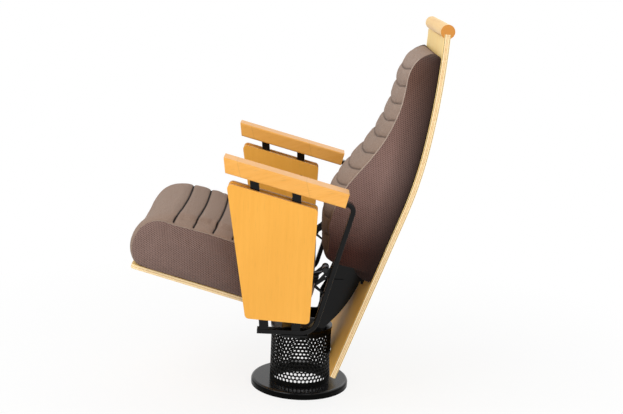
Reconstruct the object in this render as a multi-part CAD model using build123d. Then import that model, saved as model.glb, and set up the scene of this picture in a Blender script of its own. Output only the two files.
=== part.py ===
"""Tip-up auditorium seat on a perforated pedestal.

All sizes are in millimetres. The origin is the middle of the base on the floor,
+Z is up, the sitter faces -Y and +X is the sitter's left. Side views are drawn
as (y, z) sketches and given their thickness along X by slab().
"""

from math import atan2, ceil, cos, degrees, hypot, pi, radians, sin, sqrt, tan
import os

from build123d import *

# ---------------------------------------------------------------- clearances
SNUG = 0.1  # glued or pushed-together joints, each side
CUSHION_GAP = 0.3  # cushion to the board behind it
RUNNING = 0.05  # pin in its bush, on the radius
BOLT_PLAY = 0.5  # bolt in a plain hole, on the radius

# ---------------------------------------------------------------- overall
ARM_CENTRE_X = 270.0  # armrest, posts and side frame share this plane
LOW_BAR_Z = 225.0  # middle height of the side frame's bottom bar

# ---------------------------------------------------------------- pedestal
COVER_RADIUS = 122.5
COVER_HEIGHT = 17.0
COVER_SHEET = 2.0
COVER_SHOULDER = 7.0
FLANGE_RADIUS = 110.0
FLANGE_THICK = 8.0
ANCHOR_CIRCLE = 184.0
ANCHOR_HOLE_RADIUS = 6.0
ANCHOR_COUNT = 4
TUBE_RADIUS = 75.5
TUBE_WALL = 2.5
TUBE_TOP_Z = 152.0
TUBE_SIDES = 30
HOLE_ACROSS = 8.2  # across the corners of one perforation
HOLE_ROWS = 9
FIRST_HOLE_Z = 29.0
TOP_PLATE_RADIUS = 77.5
TOP_PLATE_THICK = 6.0

# ---------------------------------------------------------------- cross beam
BEAM_FRONT_Y = -45.0
BEAM_REAR_Y = 15.0
BEAM_WALL = 3.0
BEAM_TIP_HEIGHT = 5.0
BEAM_LEVEL_HALF = 62.0  # the underside is level as far out as this
BEAM_BOLT_X = 48.0
BEAM_BOLT_INSET = 12.0
BEAM_BOLT_RADIUS = 5.0
FRAME_BOLT_RADIUS = 4.0
FRAME_BOLT_YS = (-32.0, -9.0)

# ---------------------------------------------------------------- side frame
BAR_HEIGHT = 11.0
BAR_WIDTH = 24.0
BAR_WALL = 2.0
BAR_ROUND = 2.5
BAR_FRONT_Y = -98.0
STRUT_FOOT_Y = 27.5  # where the strut's line crosses the bottom bar's line
STRUT_LEAN = 15.1  # degrees from upright, leaning back
LOW_BEND = 38.0
TOP_BEND = 15.0
POST_DEPTH = 20.0
POST_WALL = 2.0
FRONT_POST_FOOT_Y = -85.0
FRONT_POST_TOP_Y = -118.0
REAR_POST_FOOT_Y = -12.0
REAR_POST_TOP_Y = -23.0
CAP_HEAD = 2.5
CAP_PLUG = 12.0

# ---------------------------------------------------------------- armrest
ARM_HEEL = (85.3, 522.4)  # lower rear corner
ARM_FALL = 14.2  # degrees down to the rear
ARM_TOP_LENGTH = 288.0
ARM_UNDER_LENGTH = 275.0
ARM_THICK = 33.0
ARM_WIDTH = 60.0
ARM_ROUND = 4.0
RAIL_END = 255.0  # how far the bar runs forward inside the armrest
ARM_SCREW_AT = (28.0, 234.0)
ARM_SCREW_RADIUS = 2.5
ARM_SCREW_REACH = 14.0

# ---------------------------------------------------------------- side panels
PANEL_CORNERS = ((-179.0, 568.0), (26.0, 516.0), (18.0, 250.0), (-127.5, 258.0))
PANEL_CORNER_ROUND = 15.0
PANEL_THICK = 12.0
PANEL_SCREW_HEIGHTS = (0.14, 0.8)  # shares of the post's length
PANEL_SCREW_RADIUS = 2.5
PANEL_SCREW_BITE = 8.0

# ---------------------------------------------------------------- seat hinge
PIVOT = (49.0, 369.0)
PIN_RADIUS = 4.0
PIN_HEAD_RADIUS = 5.5
PIN_HEAD = 2.5
PIN_TAIL = 4.0
LUG_THICK = 6.0
LUG_EYE_RADIUS = 7.5
LUG_TIP = (24.5, 324.0)
BUSH_WALL = 1.5
BUSH_FLANGE = 1.5
BUSH_FLANGE_RADIUS = 7.5
ARM_PLATE = 5.0
ARM_PLATE_FROM_LUG = 28.0  # inner face of the seat arm's plate to the lug's inner face
ARM_EYE_RADIUS = 8.5
RING_THICK = 1.2
SPRING_WIRE_RADIUS = 1.2
SPRING_RADIUS = 6.6
SPRING_TURNS = 3
SPRING_FREE_LEG = 30.0
SPRING_FIXED_LEG = 14.0
SPRING_ARM_ANGLE = 197.0  # direction of the leg under the seat arm's neck
SPRING_LUG_ANGLE = -60.0  # direction of the leg on the lug

# ---------------------------------------------------------------- seat
SEAT_ORIGIN_Z = 230.0  # underside of the seat board above the origin
SEAT_FALL = 15.0  # degrees down to the rear
BOARD_THICK = 11.0
BOARD_HALF_WIDTH = 200.0
BOARD_FRONT = -417.0
BOARD_REAR = -2.0
BOARD_CORNER = 8.0
SEAT_FRONT = -429.0
SEAT_REAR = 4.0
SEAT_TOP = 139.0
SEAT_GROOVES = (-353.0, -304.5, -256.0, -207.5, -159.0, -110.5, -62.0)
SEAT_GROOVE_DEPTH = 6.0
SEAT_BOW = 8.0  # the grooves' middle lies this much further back
# distance from the middle, how far the outline is drawn in, depth of the channels
SEAT_CROWN = ((0, 5.0, 1.0), (110, 3.0, 1.0), (190, 2.0, 0.85), (207, 9.0, 0.3), (215, 26.0, 0.1))
SEAT_FLANGE_THICK = 4.0
SEAT_FLANGE_INNER_X = 178.0
SEAT_ARM_FRONT = -118.0
SEAT_BOLT_AT = (-102.0, -62.0, -22.0)
SEAT_BOLT_RADIUS = 3.0
SEAT_BOLT_BITE = 8.0

# ---------------------------------------------------------------- back
SHELL_THICK = 14.0
SHELL_HALF_WIDTH = 190.0
SHELL_FOOT = (78.9, 87.4)  # middle of the shell's lower edge
SHELL_LEAN = 20.0
SHELL_STRAIGHT = 428.4
SHELL_RELIEF = 3.0  # hollow in the foot's face that clears the pedestal
SHELL_RADII = (950.0, 1900.0)
SHELL_TURNS = (9.5, 8.0)
RAIL_RADIUS = 16.0
RAIL_SLOT = 10.0
BACK_TOP_Z = 866.0
# height of each groove and the cushion's depth there, measured level, front to back
BACK_STATIONS = (
    (812.0, 72.0),
    (770.0, 79.0),
    (729.0, 87.0),
    (689.0, 99.0),
    (650.0, 115.0),
    (611.0, 136.0),
    (572.0, 156.0),
    (532.0, 168.0),
    (491.0, 169.0),
    (450.0, 162.0),
    (408.0, 146.0),
    (366.0, 130.0),
)
BACK_GROOVE_DEPTH = 6.0
BACK_BOW = 10.0  # the grooves' ends lie this much higher than their middle
BACK_SEAM_X = 125.0
# distance from the middle, share of the full depth above and below, depth of the channels
BACK_CROWN = (
    (0, 1.0, 1.0, 1.0),
    (75, 0.97, 0.985, 1.0),
    (BACK_SEAM_X, 0.88, 0.965, 0.8),
    (160, 0.56, 0.66, 0.12),
    (188, 0.1, 0.1, 0.05),
)
BACK_CHANGE_Z = (430.0, 560.0)  # the lower share holds below, the upper one above
BACK_HEM_Z = 322.0  # lower edge of the cushion, against the shell
MOUNT_PLATE_THICK = 5.0
MOUNT_PLATE_HALF_WIDTH = 75.0
MOUNT_PLATE_LOW_Z = 288.0
MOUNT_PLATE_HIGH_Z = 346.0
MOUNT_PLATE_ROOM = 5.0  # from its upper edge to the cushion
BRACKET_THICK = 5.0
BRACKET_X = 45.0
SHELL_BOLT_X = 60.0
SHELL_BOLT_INSET = 14.0
SHELL_BOLT_RADIUS = 4.0

# ---------------------------------------------------------------- derived
BAR_OUTER_X = ARM_CENTRE_X + BAR_WIDTH / 2
BAR_INNER_X = ARM_CENTRE_X - BAR_WIDTH / 2
BAR_TOP_Z = LOW_BAR_Z + BAR_HEIGHT / 2
BEAM_TOP_Z = LOW_BAR_Z - BAR_HEIGHT / 2
BEAM_LOW_Z = TUBE_TOP_Z + TOP_PLATE_THICK
BOARD_CENTRE_Y = (BEAM_FRONT_Y + BEAM_REAR_Y) / 2
LUG_INNER_X = BAR_INNER_X - LUG_THICK
ARM_PLATE_X = LUG_INNER_X - ARM_PLATE_FROM_LUG


# ---------------------------------------------------------------- helpers
STANDING = (Align.CENTER, Align.CENTER, Align.MIN)
HANGING = (Align.CENTER, Align.CENTER, Align.MAX)


def slab(sketch, x_low, x_high):
    """Give a side-view sketch its thickness, from x_low to x_high."""
    return extrude(Plane.YZ.offset(x_low) * sketch, amount=x_high - x_low)


def outline(*points, rounds=0.0):
    """Closed outline with straight sides; its corners may be rounded."""
    face = make_face(Polyline(*points, close=True))
    return fillet(face.vertices(), rounds) if rounds else face


def rod(radius, start, end):
    """Round bar between two points."""
    axis = Vector(*end) - Vector(*start)
    return extrude(Plane(origin=start, z_dir=axis) * Circle(radius), amount=axis.length)


def group(pieces):
    """Several separate solids as one shape."""
    return Compound(children=list(pieces))


def save(name, shape):
    export_step(shape, f"parts/{name}.step")


def save_pair(name, left):
    """A piece on the sitter's left, and its mirror image on the right."""
    save(f"{name}_left", left)
    save(f"{name}_right", mirror(left, about=Plane.YZ))


# ---------------------------------------------------------------- pedestal
def floor_flange():
    ring = Circle(FLANGE_RADIUS) - Circle(TUBE_RADIUS - TUBE_WALL)
    holes = PolarLocations(ANCHOR_CIRCLE / 2, ANCHOR_COUNT, start_angle=45) * Circle(ANCHOR_HOLE_RADIUS)
    return extrude(ring - holes, amount=FLANGE_THICK)


def flange_cover():
    """Pressed ring, drawn as half a section and turned round the pedestal."""
    bore = TUBE_RADIUS + BOLT_PLAY
    width = COVER_RADIUS - bore
    outer = Pos(bore + width / 2, COVER_HEIGHT / 2) * Rectangle(width, COVER_HEIGHT)
    shoulder = outer.vertices().sort_by(Axis.X)[-2:].sort_by(Axis.Y)[-1:]
    outer = fillet(shoulder, COVER_SHOULDER)
    low, high = bore + COVER_SHEET, COVER_RADIUS - COVER_SHEET
    inner = Pos((low + high) / 2, COVER_HEIGHT / 2 - COVER_SHEET) * Rectangle(high - low, COVER_HEIGHT)
    corner = inner.vertices().sort_by(Axis.X)[-2:].sort_by(Axis.Y)[-1:]
    inner = chamfer(corner, COVER_SHOULDER - COVER_SHEET)
    collar_foot = Pos(bore + COVER_SHEET / 2, FLANGE_THICK / 2) * Rectangle(COVER_SHEET * 1.01, FLANGE_THICK)
    section = outer - inner - collar_foot
    return revolve(Plane.XZ * section, Axis.Z)


def pedestal_tube():
    """Tube with staggered rows of perforations, punched in pairs right through."""
    corner = TUBE_RADIUS / cos(pi / TUBE_SIDES)
    bore = (TUBE_RADIUS - TUBE_WALL) / cos(pi / TUBE_SIDES)
    profile = RegularPolygon(corner, TUBE_SIDES) - RegularPolygon(bore, TUBE_SIDES)
    tube = Pos(0, 0, FLANGE_THICK) * extrude(profile, amount=TUBE_TOP_Z - FLANGE_THICK)
    pitch = (TUBE_TOP_Z - FIRST_HOLE_Z) / HOLE_ROWS
    step = 360 / TUBE_SIDES
    punches = []
    for row in range(HOLE_ROWS):
        shift = step / 2 if row % 2 else 0.0
        height = FIRST_HOLE_Z + row * pitch
        for k in range(TUBE_SIDES // 2):
            turn = Rot(0, 0, shift + step * k)
            hexagon = Plane.YZ * RegularPolygon(HOLE_ACROSS / 2, 6, rotation=30)
            punches.append(Pos(0, 0, height) * turn * extrude(hexagon, amount=2 * TUBE_RADIUS, both=True))
    return tube - punches


def top_plate():
    """Round plate that closes the pedestal and carries the beam and the back's brackets."""
    holes = [Pos(x, y) * Circle(BEAM_BOLT_RADIUS + BOLT_PLAY) for x, y in beam_bolt_places()]
    return Pos(0, 0, TUBE_TOP_Z) * extrude(Circle(TOP_PLATE_RADIUS) - holes, amount=TOP_PLATE_THICK)


# ---------------------------------------------------------------- cross beam
def beam_bolt_places():
    ys = (BEAM_FRONT_Y + BEAM_BOLT_INSET, BEAM_REAR_Y - BEAM_BOLT_INSET)
    return [(x, y) for x in (-BEAM_BOLT_X, BEAM_BOLT_X) for y in ys]


def frame_bolt_places():
    return [(x, y) for x in (-ARM_CENTRE_X, ARM_CENTRE_X) for y in FRAME_BOLT_YS]


def cross_beam():
    """Box beam whose underside rises to thin solid tips under the side frames."""
    tip, tip_x = BEAM_TOP_Z - BEAM_TIP_HEIGHT, BAR_INNER_X - BEAM_WALL
    left = [(BEAM_LEVEL_HALF, BEAM_LOW_Z), (tip_x, tip), (BAR_OUTER_X, tip), (BAR_OUTER_X, BEAM_TOP_Z)]
    face = outline(*left, *[(-x, z) for x, z in reversed(left)])
    hollow = offset(face, -BEAM_WALL)
    front, rear = BEAM_FRONT_Y, BEAM_REAR_Y
    beam = extrude(Plane.XZ.offset(-rear) * face, amount=rear - front)
    room = extrude(Plane.XZ.offset(-(rear - BEAM_WALL)) * hollow, amount=rear - front - 2 * BEAM_WALL)
    beam -= room
    for x, y in beam_bolt_places():
        beam -= rod(BEAM_BOLT_RADIUS + BOLT_PLAY, (x, y, BEAM_LOW_Z - 1), (x, y, BEAM_TOP_Z + 1))
    for x, y in frame_bolt_places():
        beam -= rod(FRAME_BOLT_RADIUS + SNUG, (x, y, BEAM_LOW_Z), (x, y, BEAM_TOP_Z + 1))
    return beam


def beam_bolts():
    """Bolts down through beam and plate, each with its hexagon nut underneath."""
    bolts = []
    nut = 1.6 * BEAM_BOLT_RADIUS
    for x, y in beam_bolt_places():
        shank = rod(BEAM_BOLT_RADIUS, (x, y, TUBE_TOP_Z), (x, y, BEAM_TOP_Z))
        head = rod(1.7 * BEAM_BOLT_RADIUS, (x, y, BEAM_TOP_Z), (x, y, BEAM_TOP_Z + 4.5))
        hexagon = RegularPolygon(1.8 * BEAM_BOLT_RADIUS, 6)
        bolts.append(shank + head + Pos(x, y, TUBE_TOP_Z - nut) * extrude(hexagon, amount=nut))
    return group(bolts)


def frame_bolts():
    """Bolts up through the beam's tips, each with a nut inside the bottom bar."""
    under, inside = BEAM_TOP_Z - BEAM_TIP_HEIGHT, BEAM_TOP_Z + BAR_WALL
    bolts = []
    for x, y in frame_bolt_places():
        head = rod(1.75 * FRAME_BOLT_RADIUS, (x, y, under), (x, y, under - 4))
        shank = rod(FRAME_BOLT_RADIUS, (x, y, under), (x, y, inside + 6.5))
        nut = extrude(Plane(origin=(x, y, inside)) * RegularPolygon(1.85 * FRAME_BOLT_RADIUS, 6), amount=6.5)
        bolts.append(shank + head + nut)
    return group(bolts)


# ---------------------------------------------------------------- armrest axes
def arm_point(along, above):
    """A point of the armrest, from its lower rear corner: forward and square up."""
    fall = radians(ARM_FALL)
    y = ARM_HEEL[0] - along * cos(fall) + above * sin(fall)
    z = ARM_HEEL[1] + along * sin(fall) + above * cos(fall)
    return (y, z)


def arm_under_z(y):
    """Height of the armrest's underside."""
    return ARM_HEEL[1] + (ARM_HEEL[0] - y) * tan(radians(ARM_FALL))


def strut_y(z):
    """Middle of the strut at a height."""
    return STRUT_FOOT_Y + (z - LOW_BAR_Z) * tan(radians(STRUT_LEAN))


# ---------------------------------------------------------------- side frame
def frame_corner():
    """Where the strut's line meets the line of the bar inside the armrest."""
    rail = arm_point(0, BAR_HEIGHT / 2)
    slope, lean = tan(radians(ARM_FALL)), tan(radians(STRUT_LEAN))
    z = (rail[1] + (rail[0] - STRUT_FOOT_Y + LOW_BAR_Z * lean) * slope) / (1 + slope * lean)
    return (strut_y(z), z)


def frame_line():
    """Middle line of the bent tube: bottom bar, strut, bar in the armrest."""
    front, foot = (BAR_FRONT_Y, LOW_BAR_Z), (STRUT_FOOT_Y, LOW_BAR_Z)
    end = arm_point(RAIL_END, BAR_HEIGHT / 2)
    return FilletPolyline(front, foot, frame_corner(), end, radius=[LOW_BEND, TOP_BEND])


def side_frame():
    line = frame_line()
    tube = slab(trace(line, BAR_HEIGHT), BAR_INNER_X, BAR_OUTER_X)
    sides = [e for e in tube.edges() if abs(abs((e @ 0.5).X - ARM_CENTRE_X) - BAR_WIDTH / 2) < 0.01]
    tube = fillet([e for e in sides if abs(e.length - BAR_HEIGHT) > 0.01], BAR_ROUND)
    bore = slab(trace(line, BAR_HEIGHT - 2 * BAR_WALL), BAR_INNER_X + BAR_WALL, BAR_OUTER_X - BAR_WALL)
    tube -= bore
    for x, y in frame_bolt_places():
        if x > 0:
            tube -= rod(FRAME_BOLT_RADIUS + SNUG, (x, y, BEAM_TOP_Z - 1), (x, y, LOW_BAR_Z))
    for along in ARM_SCREW_AT:
        tube -= arm_screw_shape(along, ARM_SCREW_RADIUS + SNUG, 0)
    return tube


def frame_end_cap():
    """Plug in the bottom bar's open front end, with a flush head."""
    half = BAR_HEIGHT / 2
    head = outline(
        (BAR_FRONT_Y - CAP_HEAD, LOW_BAR_Z - half),
        (BAR_FRONT_Y, LOW_BAR_Z - half),
        (BAR_FRONT_Y, LOW_BAR_Z + half),
        (BAR_FRONT_Y - CAP_HEAD, LOW_BAR_Z + half),
    )
    room = half - BAR_WALL - SNUG
    plug = Pos(BAR_FRONT_Y + CAP_PLUG / 2, LOW_BAR_Z) * Rectangle(CAP_PLUG, 2 * room)
    inset = BAR_WALL + SNUG
    cap = slab(head, BAR_INNER_X, BAR_OUTER_X)
    cap = fillet(cap.edges().filter_by(Axis.Y), BAR_ROUND)
    return cap + slab(plug, BAR_INNER_X + inset, BAR_OUTER_X - inset)


def post_outline(foot_y, top_y, half):
    """Side view of an upright, cut to the bottom bar and to the bar in the armrest."""
    foot = [(foot_y + d, BAR_TOP_Z) for d in (-half, half)]
    top = [(top_y + d, arm_under_z(top_y + d)) for d in (half, -half)]
    return outline(*foot, *top)


def post(foot_y, top_y):
    outer = slab(post_outline(foot_y, top_y, POST_DEPTH / 2), BAR_INNER_X, BAR_OUTER_X)
    inner = post_outline(foot_y, top_y, POST_DEPTH / 2 - POST_WALL)
    hollow = outer - slab(inner, BAR_INNER_X + POST_WALL, BAR_OUTER_X - POST_WALL)
    for y, z in post_screw_places(foot_y, top_y):
        hollow -= rod(PANEL_SCREW_RADIUS + SNUG, (BAR_INNER_X - 1, y, z), (BAR_OUTER_X + 1, y, z))
    return hollow


def post_screw_places(foot_y, top_y):
    top_z = arm_under_z(top_y)
    return [
        (foot_y + share * (top_y - foot_y), BAR_TOP_Z + share * (top_z - BAR_TOP_Z))
        for share in PANEL_SCREW_HEIGHTS
    ]


def panel_screw_places():
    front = post_screw_places(FRONT_POST_FOOT_Y, FRONT_POST_TOP_Y)
    return front + post_screw_places(REAR_POST_FOOT_Y, REAR_POST_TOP_Y)


# ---------------------------------------------------------------- armrest
def armrest():
    """Solid rail with rounded edges, square at the rear, undercut at the front."""
    side = outline(
        arm_point(0, 0),
        arm_point(0, ARM_THICK),
        arm_point(ARM_TOP_LENGTH, ARM_THICK),
        arm_point(ARM_UNDER_LENGTH, 0),
    )
    half = ARM_WIDTH / 2
    block = slab(side, ARM_CENTRE_X - half, ARM_CENTRE_X + half)
    long_edges = block.edges().filter_by(lambda e: e.length > ARM_UNDER_LENGTH - 1 and abs((e % 0).X) < 0.1)
    block = fillet(long_edges, ARM_ROUND)
    groove = outline(
        arm_point(-1, -1),
        arm_point(-1, BAR_HEIGHT + SNUG),
        arm_point(RAIL_END + SNUG, BAR_HEIGHT + SNUG),
        arm_point(RAIL_END + SNUG, -1),
    )
    block -= slab(groove, BAR_INNER_X - SNUG, BAR_OUTER_X + SNUG)
    for along in ARM_SCREW_AT:
        block -= arm_screw_shape(along, ARM_SCREW_RADIUS, 0)
    return block


def arm_screw_shape(along, radius, head):
    """Shank of one armrest screw, with its head below the bar if head is given."""
    low, high = arm_point(along, -head), arm_point(along, BAR_HEIGHT + ARM_SCREW_REACH)
    return rod(radius, (ARM_CENTRE_X, *low), (ARM_CENTRE_X, *high))


def armrest_screws():
    screws = []
    for along in ARM_SCREW_AT:
        under, low = arm_point(along, 0), arm_point(along, -2.5)
        head = rod(2 * ARM_SCREW_RADIUS, (ARM_CENTRE_X, *low), (ARM_CENTRE_X, *under))
        left = arm_screw_shape(along, ARM_SCREW_RADIUS, 0) + head
        screws += [left, mirror(left, about=Plane.YZ)]
    return group(screws)


# ---------------------------------------------------------------- side panels
def side_panel(inner_face_x):
    """Four-cornered plywood panel, narrower at the foot, with rounded corners."""
    sheet = outline(*PANEL_CORNERS, rounds=PANEL_CORNER_ROUND)
    return slab(sheet, inner_face_x, inner_face_x + PANEL_THICK)


def side_panel_outer():
    panel = side_panel(BAR_OUTER_X)
    for y, z in panel_screw_places():
        panel -= rod(PANEL_SCREW_RADIUS, (BAR_OUTER_X - 1, y, z), (BAR_OUTER_X + PANEL_SCREW_BITE, y, z))
    return panel


def side_panel_inner():
    panel = side_panel(BAR_INNER_X - PANEL_THICK)
    for y, z in panel_screw_places():
        panel -= panel_screw(y, z, SNUG)
    return panel


def panel_screw(y, z, play):
    """Countersunk screw from the inner panel's face into the outer panel."""
    face = BAR_INNER_X - PANEL_THICK
    head = 2 * PANEL_SCREW_RADIUS
    shank = rod(PANEL_SCREW_RADIUS + play, (face, y, z), (BAR_OUTER_X + PANEL_SCREW_BITE, y, z))
    sink = Plane(origin=(face, y, z), z_dir=(1, 0, 0)) * Cone(
        head + play, PANEL_SCREW_RADIUS + play, head - PANEL_SCREW_RADIUS, align=STANDING
    )
    return shank + sink


def panel_screws():
    screws = []
    for y, z in panel_screw_places():
        left = panel_screw(y, z, 0.0)
        screws += [left, mirror(left, about=Plane.YZ)]
    return group(screws)


# ---------------------------------------------------------------- seat hinge
def pivot_lug():
    """Open triangle welded inside the strut, with the pivot's eye on its upper side."""
    tip, low, high = LUG_TIP, 311.0, 376.0
    lower_left = (tip[0], tip[1] + 3.5)
    upper_left = (tip[0] + 2.9, tip[1] + 13.2)
    in_strut = [(strut_y(high), high), (strut_y(low), low)]
    shape = outline(lower_left, upper_left, (59, high - 1), *in_strut, (46.5, low + 1))
    edge = BAR_HEIGHT / 2
    inside = [(strut_y(z) - edge, z) for z in (351.5, 316.5)]
    window = outline((tip[0] + 5, tip[1] + 7.5), *inside)
    shape = shape + Pos(*PIVOT) * Circle(LUG_EYE_RADIUS) - window - Pos(*PIVOT) * Circle(PIN_RADIUS)
    lug = slab(shape, LUG_INNER_X, BAR_INNER_X)
    hook = spring_fixed_end()
    start, end = (LUG_INNER_X - 1, hook.Y, hook.Z), (BAR_INNER_X + 1, hook.Y, hook.Z)
    return lug - rod(SPRING_WIRE_RADIUS + 0.3, start, end)


def pivot_pin():
    """Shoulder pin, head outside the lug, grooved for the ring at its inner end."""
    y, z = PIVOT
    tip = ARM_PLATE_X - RING_THICK - BUSH_FLANGE - PIN_TAIL
    shank = rod(PIN_RADIUS, (tip, y, z), (BAR_INNER_X, y, z))
    head = rod(PIN_HEAD_RADIUS, (BAR_INNER_X, y, z), (BAR_INNER_X + PIN_HEAD, y, z))
    ring_low, ring_high = ring_faces()
    groove = rod(PIN_RADIUS + 1, (ring_low, y, z), (ring_high, y, z)) - rod(
        PIN_RADIUS - 1, (ring_low, y, z), (ring_high, y, z)
    )
    return shank + head - groove


def ring_faces():
    """Inner and outer face of the retaining ring, clear of the seat arm."""
    high = ARM_PLATE_X - 0.8
    return high - RING_THICK, high


def retaining_ring():
    low, high = ring_faces()
    ring = Circle(PIN_RADIUS + 2.5) - Circle(PIN_RADIUS - 1) - Pos(0, -PIN_RADIUS) * Rectangle(6, 8)
    return slab(Pos(*PIVOT) * ring, low, high)


def arm_bush():
    """Flanged sleeve in the seat arm's eye."""
    bore = Circle(PIN_RADIUS + RUNNING)
    outer = ARM_PLATE_X + ARM_PLATE
    sleeve = slab(Pos(*PIVOT) * (Circle(PIN_RADIUS + BUSH_WALL) - bore), ARM_PLATE_X - 0.5, outer)
    flange = slab(Pos(*PIVOT) * (Circle(BUSH_FLANGE_RADIUS) - bore), outer, outer + BUSH_FLANGE)
    return sleeve + flange


def biarc(p, u, q, v):
    """Two arcs that join p to q and leave and arrive along u and v."""
    chord, both = q - p, u + v
    turn = 2 * (1 - u.dot(v))
    reach = (sqrt(chord.dot(both) ** 2 + turn * chord.dot(chord)) - chord.dot(both)) / turn
    middle = (p + q + (u - v) * reach) * 0.5
    first = Edge.make_tangent_arc(p, u, middle)
    return [first, Edge.make_tangent_arc(middle, first % 1, q)]


def spring_span():
    """Angles of the coil's first and last point, seen from the sitter's left."""
    first = SPRING_ARM_ANGLE - 270
    last = SPRING_LUG_ANGLE - 90
    return first, last + 360 * ceil((first - last) / 360 + SPRING_TURNS - 1)


def spring_point(angle):
    """Point and direction of the coil's middle line at an angle."""
    first, last = spring_span()
    room = SPRING_WIRE_RADIUS + 2.6
    start_x = ARM_PLATE_X + ARM_PLATE + BUSH_FLANGE + room
    travel = LUG_INNER_X - room - start_x
    a, rise = radians(angle), travel / radians(last - first)
    y, z = SPRING_RADIUS * cos(a), SPRING_RADIUS * sin(a)
    spot = Vector(start_x + rise * radians(angle - first), PIVOT[0] + y, PIVOT[1] + z)
    return spot, Vector(rise, -z, y).normalized()


def spring_fixed_end():
    """Where the fixed leg turns into its hole in the lug."""
    spot, way = spring_point(spring_span()[1])
    level = Vector(0, way.Y, way.Z).normalized()
    return spot + level * SPRING_FIXED_LEG


def least_gap(path, thickness):
    """Least clear gap between stretches of one wire, measured on points 1 mm apart."""
    count = ceil(path.length)
    spots = [path @ (k / count) for k in range(count + 1)]
    near = ceil(pi * thickness)
    pairs = ((p, q) for k, p in enumerate(spots) for q in spots[k + near :])
    return min((q - p).length for p, q in pairs) - thickness


def torsion_spring():
    """One wire: leg under the seat arm, coil round the pin, leg to the lug."""
    first, last = spring_span()
    steps = ceil((last - first) / 180)
    angles = [first + (last - first) * k / steps for k in range(steps + 1)]
    edges = []
    for low, high in zip(angles, angles[1:]):
        edges += biarc(*spring_point(low), *spring_point(high))
    start, way = spring_point(first)
    edges.insert(0, Line(start - way * SPRING_FREE_LEG, start))
    end, out = spring_point(last)
    edges.append(Line(end, end + out * SPRING_FIXED_LEG))
    path = Wire(edges)
    print("torsion spring: least gap to itself", round(least_gap(path, 2 * SPRING_WIRE_RADIUS), 2))
    wire = Plane(origin=path @ 0, z_dir=path % 0) * RegularPolygon(SPRING_WIRE_RADIUS, 6)
    return sweep(wire, path=path)


def stop_buffer():
    """Rubber block on the lug's tip, under the seat arm's stop tab."""
    y, z = LUG_TIP
    block = Pos(y + 5, z + 16) * Rectangle(9, 10)
    return slab(block, LUG_INNER_X - 18, LUG_INNER_X)


# ---------------------------------------------------------------- seat
def seat_plane():
    """The seat board's underside: y to the rear along the board, z square up."""
    fall = radians(SEAT_FALL)
    return Plane(origin=(0, 0, SEAT_ORIGIN_Z), x_dir=(1, 0, 0), z_dir=(0, sin(fall), cos(fall)))


def on_seat(along, above):
    """Side-view point from a distance along the seat board and square above it."""
    fall = radians(SEAT_FALL)
    y = along * cos(fall) + above * sin(fall)
    return (y, SEAT_ORIGIN_Z - along * sin(fall) + above * cos(fall))


def seat_arm():
    """Plate beside the cushion: eye, neck, cheek and a flange under the board."""
    outer_x = ARM_PLATE_X + ARM_PLATE
    low = -SEAT_FLANGE_THICK
    cheek = outline(
        on_seat(BOARD_REAR, low),
        on_seat(SEAT_ARM_FRONT, low),
        on_seat(SEAT_ARM_FRONT, 26),
        on_seat(-95, 34),
        on_seat(-38, 116),
        on_seat(-16, 128),
        on_seat(-2, 110),
    )
    cheek = fillet(cheek.vertices().sort_by(Axis.Y)[1:3], 12)
    neck_way = on_seat(-14, 110)
    angle = degrees(atan2(neck_way[1] - PIVOT[1], neck_way[0] - PIVOT[0]))
    reach = hypot(neck_way[1] - PIVOT[1], neck_way[0] - PIVOT[0])
    neck = Pos(*PIVOT) * Rot(0, 0, angle) * Pos(reach / 2, 0) * Rectangle(reach, 12)
    shape = cheek + neck + Pos(*PIVOT) * Circle(ARM_EYE_RADIUS) - Pos(*PIVOT) * Circle(PIN_RADIUS + BUSH_WALL)
    plate = slab(shape, ARM_PLATE_X, outer_x)
    rear, front = BOARD_REAR, SEAT_ARM_FRONT
    flange_side = outline(on_seat(rear, low), on_seat(front, low), on_seat(front, 0), on_seat(rear, 0))
    flange = slab(flange_side, SEAT_FLANGE_INNER_X, outer_x)
    y, z = LUG_TIP
    tab = slab(Pos(y + 4, z + 24.3) * Rectangle(13, 6), outer_x, LUG_INNER_X - 8)
    bridge = outline((y - 6, z + 21.3), (y + 10.5, z + 21.3), (y + 10.5, z + 27.3), (y - 6, z + 27.3))
    arm = plate + flange + tab + slab(bridge, ARM_PLATE_X, outer_x)
    for x, along in seat_bolt_places():
        if x > 0:
            arm -= seat_bolt(x, along, BOLT_PLAY)
    return arm


def seat_bolt_places():
    x = (SEAT_FLANGE_INNER_X + BOARD_HALF_WIDTH) / 2
    return [(side * x, along) for side in (-1, 1) for along in SEAT_BOLT_AT]


def seat_bolt(x, along, play=0.0):
    length = SEAT_FLANGE_THICK + SEAT_BOLT_BITE
    shank = Cylinder(SEAT_BOLT_RADIUS + play, length, align=STANDING)
    return seat_plane() * Pos(x, along, -SEAT_FLANGE_THICK) * shank


def seat_bolts():
    """Pan head bolts up through the arm flanges into the seat board."""
    bolts = []
    for x, along in seat_bolt_places():
        head = Cylinder(2 * SEAT_BOLT_RADIUS, 3.0, align=HANGING)
        bolts.append(seat_bolt(x, along) + seat_plane() * Pos(x, along, -SEAT_FLANGE_THICK) * head)
    return group(bolts)


def seat_shell():
    """Flat plywood board with rounded corners under the seat cushion."""
    depth = BOARD_REAR - BOARD_FRONT
    sheet = RectangleRounded(2 * BOARD_HALF_WIDTH, depth, BOARD_CORNER)
    board = seat_plane() * extrude(Pos(0, BOARD_REAR - depth / 2) * sheet, amount=BOARD_THICK)
    for x, along in seat_bolt_places():
        board -= seat_bolt(x, along)
    return board


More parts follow.
